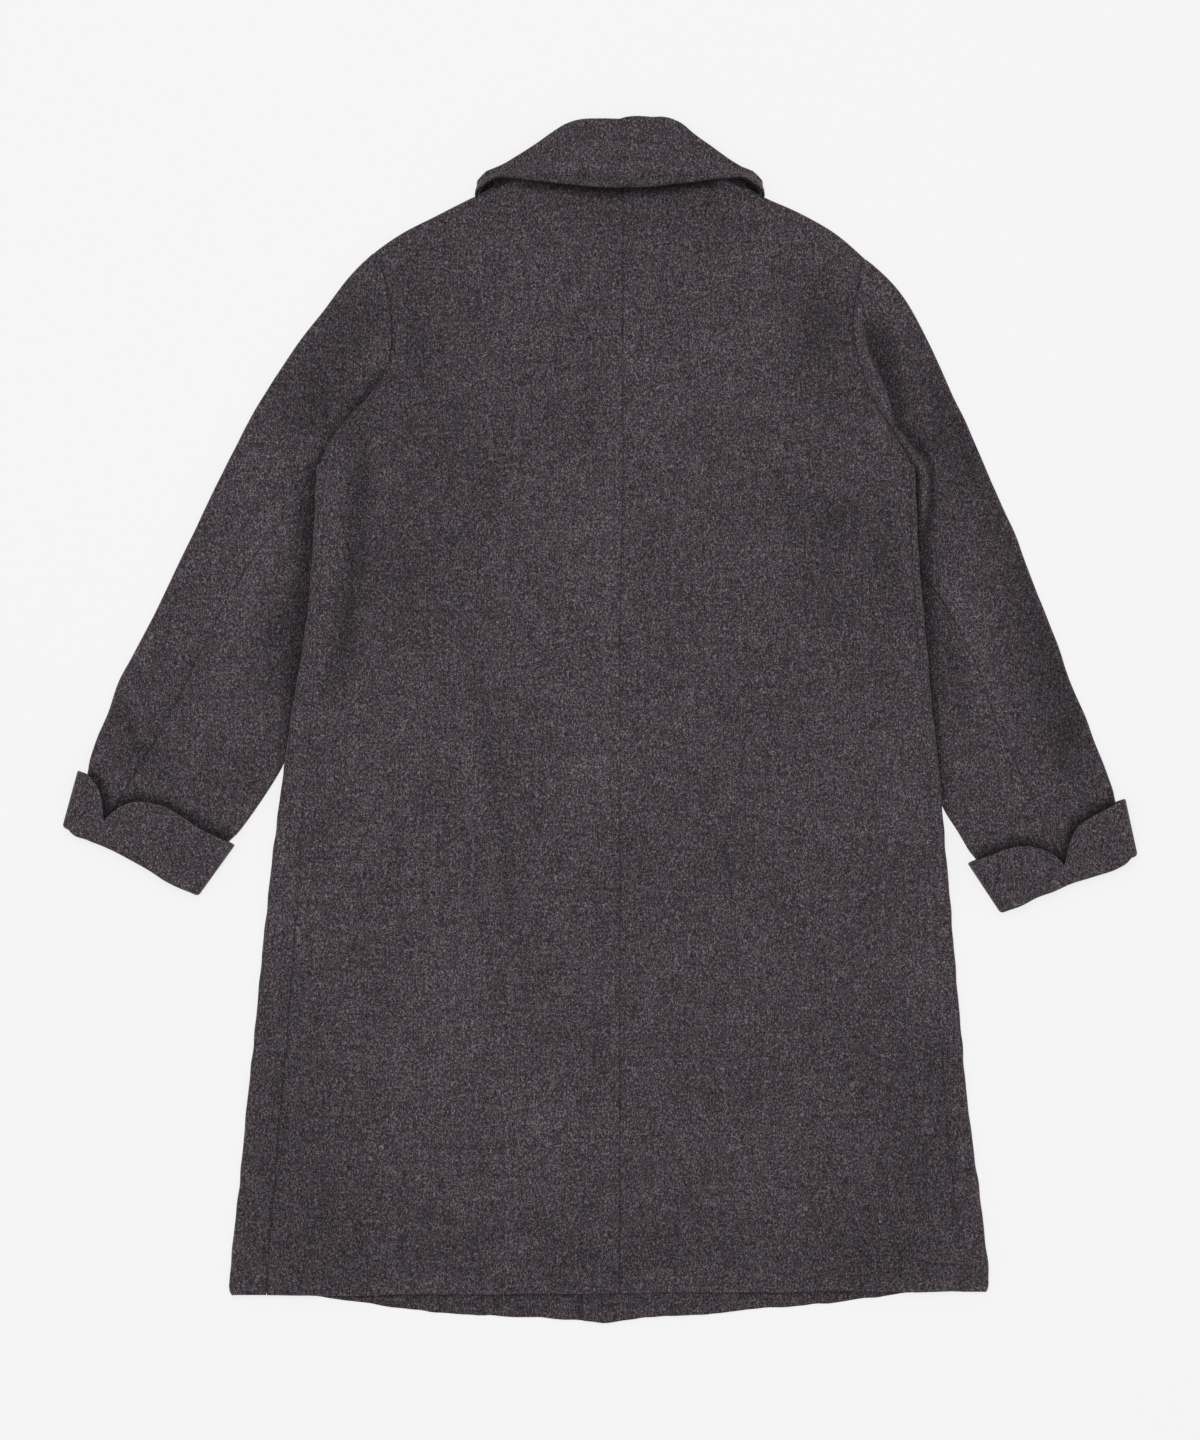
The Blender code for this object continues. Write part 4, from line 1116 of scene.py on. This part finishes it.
def add_cuff(side, material):
    """A turned-back band round the sleeve's end: a flattened ring carried from its turned lower edge up.

    Each row has a share of the band's height and a radius of the ring. The lower edge turns in as a half
    circle, and the free edge stands off the sleeve and is cut in two lobes on the shown side.
    """
    fold_outer, fold_inner = np.array(CUFF_CORNERS[side]["fold"], float)
    depth = np.linalg.norm(np.array(CUFF_CORNERS[side]["edge"][0], float) - fold_outer)
    way = (fold_inner - fold_outer) / np.linalg.norm(fold_inner - fold_outer)
    notch = (CUFF_NOTCH[side] - CUFF_INSET) / (1 - 2 * CUFF_INSET)
    inner_lobe = np.linspace(1, notch, CUFF_POINTS["inner_lobe"])
    shown = np.concatenate([inner_lobe[:-1], np.linspace(notch, 0, CUFF_POINTS["outer_lobe"])])
    hidden = np.linspace(0, 1, CUFF_POINTS["hidden"])
    turns = TURNS[1:-1]
    share = np.concatenate([shown, 0 * turns, hidden, 0 * turns + 1])
    turn = np.concatenate([0 * shown, turns, 0 * hidden + 1, turns[::-1]])
    outwards = np.where(share < 0.5, -1, 1)
    hidden_edge = 1 - CUFF_HIDDEN_WAVE * (1 - np.cos(4 * pi * share))
    lobes = np.where(turn == 0, cuff_edge(side, share), hidden_edge)

    bend = np.linspace(pi, 0, CUFF_POINTS["turned"])[:-1]
    turned_up = CUFF_TURN + CUFF_CLOTH / 2
    lowest = turned_up / depth
    bow = (smooth(share, CUFF_BOW[side]["share"], CUFF_BOW[side]["up"]) - FUZZ) / depth
    up = spaced(depth, STEP["cuff"], start=False)
    band = lowest + bow + (lobes - lowest - bow) * up[:, None]
    turned = (turned_up - CUFF_TURN * np.sin(bend))[:, None] / depth + bow
    height = np.concatenate([turned, band])
    inset = np.concatenate([CUFF_TURN * (1 - np.cos(bend)), 0 * up])[:, None]
    rise = np.concatenate([0 * bend, ramp(up, CUFF_FLARE_START, 1)])[:, None]
    on_top = ramp(np.cos(pi * turn), *CUFF_SHOWN)
    radius = CUFF_RADIUS - inset
    flat = cuff_plan(side, np.broadcast_to(share, height.shape), height)
    flat = flat + (outwards * np.sin(pi * turn) * radius)[..., None] * way
    z = CUFF_CLOTH / 2 + CUFF_RADIUS + radius * np.cos(pi * turn) + CUFF_FLARE * on_top * rise
    z = z + on_top * uneven(flat[..., 0], flat[..., 1], "cuff")
    # Painted highlight along the cuff's free edge
    at_edge = PAINTED_RIM_HIGHLIGHT * np.exp((up - 1) * depth / RIM_WIDTH)
    nap = np.broadcast_to(np.concatenate([0 * bend, at_edge])[:, None], height.shape)
    points = np.concatenate([flat, z[..., None]], -1)
    return wall("cuff_%s_cloth" % side, points, CUFF_CLOTH, CUFF_ROUND, material, nap, closed=True)


def collar_ring(way, share, turn, half, front, back):
    """x and z round a flattened ring: share from the centre to the side, turn from the back to the front."""
    radius = (back - front) / 2
    out = (half - radius) * share + radius * np.sin(pi * turn)
    return CENTRE + way * out, front + radius * (1 + np.cos(pi * turn))


def add_collar(material):
    """One band from end to end: up the stand from the neck seam, over the roll line and down to its edge."""
    first = COLLAR_END / STAND_HALF
    front = first + (1 - first) * spaced(STAND_HALF, STEP["collar_stand"], end=False)
    turns = TURNS[::-1][1:-1]
    back = np.linspace(1, 0, COLLAR_POINTS["back"])
    share = np.concatenate([front, 0 * turns + 1, back])
    turn = np.concatenate([0 * front + 1, turns, 0 * back])
    way = np.concatenate([0 * share - 1, 0 * share[:-1] + 1])
    share = np.concatenate([share, share[-2::-1]])
    turn = np.concatenate([turn, turn[-2::-1]])

    layer = CLOTH / 2 + NECK_LIFT
    stand_x, stand_z = collar_ring(way, share, turn, STAND_HALF, layer, layer + LAYERS_APART)
    highest = layer + LAYERS_APART + COLLAR_CLOTH + COLLAR_CLEAR

    def line(name):
        at_back = smooth(share, COLLAR["share"], COLLAR["back_" + name])
        if name == "roll":
            at_back = np.where(way > 0, smooth(share, RIGHT_ROLL["share"], RIGHT_ROLL["y"]), at_back)
        at_front = smooth(share, COLLAR["share"], COLLAR["front_" + name])
        return at_back + (at_front - at_back) * turn

    at_side = np.sin(pi * turn)
    past_neck = np.maximum(np.abs(stand_x - CENTRE) - NECK_HALF, 0)
    seam = neck(stand_x, BACK_NECK + (FRONT_NECK - BACK_NECK) * turn) - NECK_SEAM
    seam = seam - SEAM_DIP * at_side - SEAM_SLOPE * past_neck
    roll = line("roll") - COLLAR_CLOTH / 2 - ROLL_DIP * at_side
    edge = line("edge")
    rows = []
    for down in np.linspace(0, 1, COLLAR_POINTS["stand"])[:-1]:
        rows.append(np.stack([stand_x, seam + (roll - ROLL_REACH - seam) * down, stand_z], -1))
    fall_x, fall_z = collar_ring(way, share, turn, COLLAR_HALF, COLLAR_CLOTH / 2, highest)
    stand = np.stack([stand_x, roll, stand_z], -1)
    fall = np.stack([fall_x, roll, fall_z], -1)
    reach = np.minimum(np.linalg.norm(fall - stand, axis=-1) / 2, ROLL_REACH)
    for angle in np.linspace(0, pi, COLLAR_POINTS["roll"]):
        point = (stand + fall) / 2 - (fall - stand) / 2 * np.cos(angle)
        point[:, 1] += reach * (np.sin(angle) - 1)
        rows.append(point)
    nap = [0 * share] * len(rows)
    for down in spaced(COLLAR_DEPTH, STEP["collar_fall"], start=False)[1:]:
        to_edge = (1 - down) * COLLAR_DEPTH
        on_edge = bell(to_edge / COLLAR_EDGE, COLLAR_EDGE_BELLS[0])
        in_trough = bell(to_edge / COLLAR_EDGE - 1, COLLAR_EDGE_BELLS[1])
        turned = COLLAR_EDGE_RISE * (on_edge - in_trough)
        curl = COLLAR_CURL * ramp(down, COLLAR_CURL_START, 1) + turned
        # Painted highlight on the thicker turned edge, and painted shade in the trough beside it and where
        # the edge turns under
        tone = painted_light_of(turned) + PAINTED_COLLAR_EDGE_SHADE * bell(to_edge, COLLAR_EDGE_TURN)
        nap.append(tone + 0 * share)
        half = COLLAR_HALF + COLLAR_SPREAD * curl
        x, z = collar_ring(way, share, turn, half, COLLAR_CLOTH / 2, highest + curl)
        y = (roll - reach) * (1 - down) + edge * down
        rows.append(np.stack([x, y, z], -1))
    rows, nap = np.array(rows), np.array(nap)
    # The collar's inner side, inside its roll, carries painted shade
    return wall("collar_cloth", rows, COLLAR_CLOTH, COLLAR_ROUND, material, nap, inside=PAINTED_COLLAR_INSIDE_SHADE)


def button_centre(number):
    return np.array([CENTRE, BUTTON_TOP - number * BUTTON_STEP, 0.0])


def add_button(number, material):
    """A dished button with its face on the floor: a profile turned about its axis.

    The face sinks from the rim to the middle, and four round wells in it are the sewing holes.
    """
    dish = BUTTON_RADIUS - BUTTON_RIM
    inner = np.linspace(BUTTON_POLE, dish, BUTTON_POINTS["face"])
    rim = np.linspace(0, pi, BUTTON_POINTS["rim"])[1:-1]
    edge = np.linspace(0, pi / 2, BUTTON_POINTS["edge"])
    back = np.linspace(dish, BUTTON_POLE, BUTTON_POINTS["back"])
    rim_radius = dish + BUTTON_RIM / 2 - BUTTON_RIM / 2 * np.cos(rim)
    rim_height = BUTTON_DISH * (1 - np.sin(rim)) * np.where(rim < pi / 2, 1, 0.5)
    side = BUTTON_RADIUS - BUTTON_ROUND * (1 - np.cos(edge))
    side_height = BUTTON_THICK - BUTTON_ROUND * (1 - np.sin(edge))
    radius = np.concatenate([inner, rim_radius, [BUTTON_RADIUS], side, back])
    on_front, on_back = 0 * inner + BUTTON_DISH, 0 * back + BUTTON_THICK
    height = np.concatenate([on_front, rim_height, [BUTTON_DISH], side_height, on_back])
    angle = around(BUTTON_POINTS["around"])
    x, y = radius[:, None] * np.cos(angle), radius[:, None] * np.sin(angle)
    from_hole = np.hypot(np.abs(x) - HOLE_PLACE, np.abs(y) - HOLE_PLACE)
    on_face = (np.arange(len(radius)) < len(inner))[:, None]
    in_hole = on_face * (1 - ramp(from_hole, HOLE_RADIUS - HOLE_ROUND, HOLE_RADIUS + HOLE_ROUND))
    rings = np.stack([x, y, height[:, None] + HOLE_DEPTH * in_hole], -1) + button_centre(number)
    start = button_centre(number) + (0, 0, BUTTON_DISH)
    end = button_centre(number) + (0, 0, BUTTON_THICK)
    return add_rings("button_%d_horn" % (number + 1), rings, start, end, material)


def add_button_thread(number, row, material):
    """A stitch between two of a button's holes: a round section carried along an arch that dips into both."""
    share = np.linspace(0, 1, THREAD_POINTS["along"])
    arch = np.sqrt(np.sin(pi * share))
    deep = BUTTON_DISH + HOLE_DEPTH - THREAD_RADIUS
    shallow = BUTTON_DISH - THREAD_PROUD * THREAD_RADIUS
    x = HOLE_PLACE * (2 * share - 1)
    middle = np.stack([x, 0 * share + row * HOLE_PLACE, deep + (shallow - deep) * arch], -1)
    middle = middle + button_centre(number)
    ahead = np.gradient(middle, axis=0)
    ahead /= np.linalg.norm(ahead, axis=-1, keepdims=True)
    upwards = np.stack([-ahead[:, 2], 0 * share, ahead[:, 0]], -1)
    angle = around(THREAD_POINTS["around"])
    section = np.cos(angle)[:, None] * np.array([0.0, 1.0, 0.0]) + np.sin(angle)[:, None] * upwards[:, None]
    rings = middle[:, None] + THREAD_RADIUS * section
    name = "button_%d_thread_%s" % (number + 1, "upper" if row > 0 else "lower")
    return add_rings(name, rings, middle[0], middle[-1], material)


def add_buttonhole(number, material):
    """Stitches round a slit on the outer front.

    A flat section is carried round a long loop, wider at each stitch.
    """
    turn = around(4 * STITCHES)
    half = (SLIT[1] - SLIT[0]) / 2
    x = half * np.sign(np.cos(turn)) * np.sqrt(abs(np.cos(turn)))
    y = SLIT_HALF * np.sign(np.sin(turn)) * np.sqrt(abs(np.sin(turn)))
    ahead = np.stack([np.roll(x, -1) - np.roll(x, 1), np.roll(y, -1) - np.roll(y, 1)], -1)
    out = np.stack([ahead[:, 1], -ahead[:, 0]], -1) / np.linalg.norm(ahead, axis=-1, keepdims=True)
    angle = around(THREAD_POINTS["around"])
    width = STITCH_WIDTH * (1 - STITCH_SWELL * (1 - np.cos(STITCHES * turn)))
    x = x[:, None] + SLIT[0] + half + out[:, :1] * width[:, None] * np.cos(angle)
    y = y[:, None] + button_centre(number)[1] + out[:, 1:] * width[:, None] * np.cos(angle)
    z = front_height(x, y) - CLOTH / 2 - STITCH_HEIGHT * np.sin(angle)
    points = np.stack([x, y, z], -1).reshape(-1, 3)
    faces = squares(len(turn), len(angle), True, True).reshape(-1, 4)
    loop = add_mesh("buttonhole_%d" % (number + 1), points, [faces], material)
    # Painted shade: the loop darker towards its top and twice as dark on its inside by the slit
    mark(loop, "nap", np.tile(PAINTED_STITCH_SHADE * (1 - np.cos(angle)), len(turn)))
    return loop


# Materials: how fine each pattern is, in cells a metre, and how strongly it shows
CURL_SCALE = 130
CURL = 0.004             # metres, the most by which a fibre is moved aside
FIBRE_SCALE = 850
FIBRE_ANGLES = (0.3, 1.35, 2.4)
FIBRE_STRETCH = (1, 0.4, 0.6)
FIBRE_MIDDLE = 0.62      # usual height of the highest of the three layers
FIBRE_GAIN = 2.7
GRAIN_SCALE = 680
GRAIN_GAIN = 2.65
MOTTLE_SCALE = 90
MOTTLE_GAIN = 0.24
WEAVE_SCALE = 400
WEAVE_STRETCH = 0.06
WEAVE_GAIN = 0.3
WOOL_TONE = 0.487        # where the cloth's middle tone lies in the greys below
WOOL_GREYS = (
    (0.0, (0.0185, 0.0145, 0.0170)),
    (0.36, (0.043, 0.0351, 0.0402)),
    (0.54, (0.065, 0.0538, 0.0610)),
    (0.74, (0.098, 0.0831, 0.0922)),
    (1.0, (0.170, 0.148, 0.160)),
)
TINT_SCALE = 75
WARM, COOL = (1.025, 0.995, 0.965, 1), (0.98, 0.99, 1.035, 1)
HORN_SCALE = 420
HORN_BROWNS = ((0.3, (0.012, 0.009, 0.008)), (0.55, (0.035, 0.024, 0.019)), (0.75, (0.075, 0.05, 0.036)))
SCRATCH_SCALE = 2600
FLOOR_GREYS = ((0.0, (0.128, 0.128, 0.128)), (1.0, (0.132, 0.132, 0.132)))
FLOOR_GLOW = 0.777


class Value:
    """A socket of a material's node tree. Arithmetic on it adds Math nodes."""

    def __init__(self, finish, socket):
        self.finish = finish
        self.socket = socket

    def math(self, operation, first, second=0.0):
        return self.finish.node("ShaderNodeMath", {"operation": operation}, {0: first, 1: second})

    def __add__(self, other):
        return self.math("ADD", self, other)

    def __sub__(self, other):
        return self.math("SUBTRACT", self, other)

    def __rsub__(self, other):
        return self.math("SUBTRACT", other, self)

    def __mul__(self, other):
        return self.math("MULTIPLY", self, other)

    def highest(self, other):
        return self.math("MAXIMUM", self, other)

    def within(self, low, high):
        """0 below low and 1 above high, with a smooth rise between."""
        sockets = {"Value": self, "From Min": low, "From Max": high}
        return self.finish.node("ShaderNodeMapRange", {"interpolation_type": "SMOOTHSTEP"}, sockets)

    __radd__ = __add__
    __rmul__ = __mul__


class Finish:
    """A material and its node tree."""

    def __init__(self, name):
        self.material = bpy.data.materials.new(name)
        self.material.use_nodes = True
        self.tree = self.material.node_tree
        self.shader = self.tree.nodes["Principled BSDF"]

    def node(self, kind, settings, sockets, give=0):
        """Adds a node: its settings first, then its sockets' values or links. Returns one output."""
        node = self.tree.nodes.new(kind)
        for name, value in settings.items():
            if name == "stops":
                for element, (place, colour) in zip(self.stops(node, len(value)), value):
                    element.position = place
                    element.color = (*colour, 1)
            else:
                setattr(node, name, value)
        for name, value in sockets.items():
            self.give(node.inputs[name], value)
        return Value(self, node.outputs[give])

    def stops(self, node, count):
        elements = node.color_ramp.elements
        while len(elements) < count:
            elements.new(0.5)
        return elements

    def give(self, socket, value):
        if isinstance(value, Value):
            self.tree.links.new(value.socket, socket)
        else:
            socket.default_value = value

    def set(self, **sockets):
        for name, value in sockets.items():
            self.give(self.shader.inputs[name.replace("_", " ")], value)

    def noise(self, vector, scale, detail, roughness=0.5, give="Fac"):
        sockets = {"Vector": vector, "Scale": scale, "Detail": detail, "Roughness": roughness}
        return self.node("ShaderNodeTexNoise", {"noise_dimensions": "3D"}, sockets, give)


def wool_finish():
    """Felted melange wool: short fibres of several greys in all directions, napped, with a matt sheen."""
    wool = Finish("wool_cloth")
    place = wool.node("ShaderNodeTexCoord", {}, {}, "Object")
    curl = wool.noise(place, CURL_SCALE, 1, give="Color")
    curl = wool.node("ShaderNodeVectorMath", {"operation": "SCALE"}, {0: curl, "Scale": CURL})
    curled = wool.node("ShaderNodeVectorMath", {"operation": "ADD"}, {0: place, 1: curl})
    fibres = None
    for angle in FIBRE_ANGLES:
        sockets = {"Vector": curled, "Rotation": (0, 0, angle), "Scale": FIBRE_STRETCH}
        turned = wool.node("ShaderNodeMapping", {"vector_type": "POINT"}, sockets)
        layer = wool.noise(turned, FIBRE_SCALE, 1, 0.5)
        fibres = layer if fibres is None else fibres.highest(layer)
    grain = wool.noise(curled, GRAIN_SCALE, 2, 0.6)
    drawn = wool.node("ShaderNodeMapping", {}, {"Vector": place, "Scale": (1, 0.5, 1)})
    mottle = wool.noise(drawn, MOTTLE_SCALE, 3, 0.6)
    lengthwise = wool.node("ShaderNodeMapping", {}, {"Vector": place, "Scale": (1, WEAVE_STRETCH, 1)})
    crosswise = wool.node("ShaderNodeMapping", {}, {"Vector": place, "Scale": (WEAVE_STRETCH, 1, 1)})
    weave = wool.noise(lengthwise, WEAVE_SCALE, 1) + wool.noise(crosswise, WEAVE_SCALE, 1) - 1
    grain = (grain - 0.5) * GRAIN_GAIN + (fibres - FIBRE_MIDDLE) * FIBRE_GAIN
    tone = WOOL_TONE + grain + (mottle - 0.5) * MOTTLE_GAIN + weave * WEAVE_GAIN
    colour = wool.node("ShaderNodeValToRGB", {"stops": WOOL_GREYS}, {"Fac": tone}, "Color")
    tint = wool.noise(place, TINT_SCALE, 2, 0.6)
    tints = {0: tint.within(0.35, 0.65), 6: WARM, 7: COOL}
    warm = wool.node("ShaderNodeMix", {"data_type": "RGBA"}, tints, 2)
    multiply = {"data_type": "RGBA", "blend_type": "MULTIPLY"}
    colour = wool.node("ShaderNodeMix", multiply, {0: 1.0, 6: colour, 7: warm}, 2)
    # The painted highlight and shade of each point scale the cloth's colour
    nap = 1 + wool.node("ShaderNodeAttribute", {"attribute_name": "nap"}, {}, "Fac")
    colour = wool.node("ShaderNodeVectorMath", {"operation": "SCALE"}, {0: colour, "Scale": nap})
    height = wool.node("ShaderNodeBump", {}, {"Height": grain, "Strength": 0.3, "Distance": 0.0006})
    wool.set(Base_Color=colour, Normal=height, Roughness=0.93, Specular_IOR_Level=0.12)
    wool.set(Sheen_Weight=0.22, Sheen_Roughness=0.45, Sheen_Tint=(0.75, 0.70, 0.73, 1))
    return wool.material


def horn_finish():
    """Dark horn: long streaks of brown, half matt, with fine scratches."""
    horn = Finish("button_horn")
    place = horn.node("ShaderNodeTexCoord", {}, {}, "Object")
    sockets = {"Vector": place, "Rotation": (0, 0, 0.5), "Scale": (1, 0.2, 1)}
    streaks = horn.noise(horn.node("ShaderNodeMapping", {}, sockets), HORN_SCALE, 4, 0.6)
    colour = horn.node("ShaderNodeValToRGB", {"stops": HORN_BROWNS}, {"Fac": streaks}, "Color")
    scratches = horn.noise(place, SCRATCH_SCALE, 3, 0.7)
    height = horn.node("ShaderNodeBump", {}, {"Height": scratches, "Strength": 0.12, "Distance": 0.0002})
    horn.set(Base_Color=colour, Normal=height, Roughness=0.3 + scratches * 0.2)
    return horn.material


def floor_finish():
    """A plain pale floor that glows evenly except under the coat, so that only a faint shadow shows."""
    floor = Finish("floor")
    place = floor.node("ShaderNodeTexCoord", {}, {}, "Object")
    tone = floor.noise(place, 3, 2)
    colour = floor.node("ShaderNodeValToRGB", {"stops": FLOOR_GREYS}, {"Fac": tone}, "Color")
    glow = floor.node("ShaderNodeAttribute", {"attribute_name": "glow"}, {}, "Color")
    floor.set(Base_Color=colour, Roughness=0.9, Specular_IOR_Level=0.0)
    floor.set(Emission_Color=glow, Emission_Strength=FLOOR_GLOW)
    return floor.material


# Coat

wool = wool_finish()
horn = horn_finish()


def declare(piece, node):
    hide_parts(node)
    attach(piece, "root")


def lay(piece, node):
    declare(piece, node)


for side, over in (("left", 0.0), ("right", 1.0)):
    sleeve_nodes = ["sleeve_%s_top" % side, "sleeve_%s_under" % side]
    lay(add_front(side, over, wool), "front_" + side)
    lay(add_back(side, wool), "back_" + side)
    top, under = add_sleeve(side, wool)
    lay(top, sleeve_nodes[0])
    lay(under, sleeve_nodes[1])
    lay(add_cuff(side, wool), "cuff_" + side)
lay(add_collar(wool), "collar")
for number in range(BUTTONS):
    declare(add_button(number, horn), "button_%d" % (number + 1))
    stitches = [add_button_thread(number, row, wool) for row in (1, -1)]
    for piece in (*stitches, add_buttonhole(number, wool)):
        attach(piece, "root")


# Floor, light and camera

FLOOR_FAR = (8000.0, 2000.0, 900.0)   # the floor's half width, and where its outer lines of points are
FLOOR_NEAR = 620.0       # within this there is a line of points at every FLOOR_STEP
FLOOR_STEP = 5.0
FLOOR_DEPTH = -0.4
FLOOR_INSET = 6.0
NECK_TOP = np.array([(-32, 570), (63, 572)], float)   # two points of the collar's roll
# In metres
CAMERA_HEIGHT = 6.0
VIEW_LONG_SIDE = 1.3824
VIEW_CENTRE = (0.0, -0.00096)
CLOTH_HEIGHT = 0.008     # the picture's scale holds at this height
SOFT_BOX = (-0.25, 0.6, 3.6)
SOFT_BOX_SIZE = 2.6
SOFT_BOX_POWER = 70.0    # watts
STUDIO_LIGHT = 0.62      # strength of the even light all round
SENSOR = 36.0            # millimetres


def encloses(corners, x, y):
    """Whether points lie in a polygon: an odd number of its sides cross the level to one side of each."""
    odd = np.zeros(np.shape(x), bool)
    for (x0, y0), (x1, y1) in zip(corners, np.roll(corners, -1, 0)):
        if y0 != y1:
            odd ^= ((y0 > y) != (y1 > y)) & (x < x0 + (y - y0) * (x1 - x0) / (y1 - y0))
    return odd


def covered(x, y):
    """Whether points of the floor lie under the body or a sleeve."""
    shoulders = {side: plan(UPPER_EDGE[side])[:SHOULDER_ROWS] for side in UPPER_EDGE}
    edges = {side: np.stack([BODY[side + "_edge"], BODY["y"]], -1) for side in UPPER_EDGE}
    left, right = [edges["left"], shoulders["left"][::-1]], [shoulders["right"], edges["right"][::-1]]
    hidden = encloses(np.concatenate([*left, NECK_TOP, *right, plan(FRONT_HEM)[::-1]]), x, y)
    for side, upper in UPPER_EDGE.items():
        fold = np.array(CUFF_CORNERS[side]["fold"], float)
        sleeve = [plan(upper)[SHOULDER_ROWS - 1:], fold, plan(INNER_EDGE[side])[::-1]]
        hidden |= encloses(np.concatenate(sleeve), x, y)
    return hidden


def add_floor():
    """A level grid. Its points under the coat, FLOOR_INSET or more from the outline, do not glow."""
    near = np.arange(-FLOOR_NEAR, FLOOR_NEAR + 1, FLOOR_STEP)
    far = np.array(FLOOR_FAR)
    line = np.concatenate([-far, near, far[::-1]])
    x, y = np.meshgrid(line, line)
    under = np.ones(x.shape, bool)
    for shift_x, shift_y in ((1, 0), (-1, 0), (0, 1), (0, -1)):
        under &= covered(x + shift_x * FLOOR_INSET, y + shift_y * FLOOR_INSET)
    points = np.stack([x, y, np.full_like(x, FLOOR_DEPTH)], -1).reshape(-1, 3)
    floor = add_mesh("floor", points, [squares(*x.shape).reshape(-1, 4)], floor_finish())
    mark(floor, "glow", 1 - under.reshape(-1))
    return floor


add_floor()


def add_area_light(name, place, size, power):
    """A round light that faces the coat's middle."""
    data = bpy.data.lights.new(name, "AREA")
    data.shape = "DISK"
    data.size = size
    data.energy = power
    light = bpy.data.objects.new(name, data)
    light.location = place
    towards = -np.array(place) / np.linalg.norm(place)
    light.rotation_euler = (np.arccos(-towards[2]), 0, np.arctan2(-towards[0], towards[1]))
    bpy.context.scene.collection.objects.link(light)


add_area_light("soft_box", SOFT_BOX, SOFT_BOX_SIZE, SOFT_BOX_POWER)

world = bpy.data.worlds.new("studio")
world.use_nodes = True
world.node_tree.nodes["Background"].inputs["Color"].default_value = (1, 1, 1, 1)
world.node_tree.nodes["Background"].inputs["Strength"].default_value = STUDIO_LIGHT
scene = bpy.context.scene
scene.world = world
scene.view_settings.view_transform = "Standard"

lens = bpy.data.cameras.new("camera")
lens.sensor_width = SENSOR
lens.lens = SENSOR * (CAMERA_HEIGHT - CLOTH_HEIGHT) / VIEW_LONG_SIDE
lens.clip_end = 100
camera = bpy.data.objects.new("camera", lens)
camera.location = (*VIEW_CENTRE, CAMERA_HEIGHT)
scene.collection.objects.link(camera)
scene.camera = camera
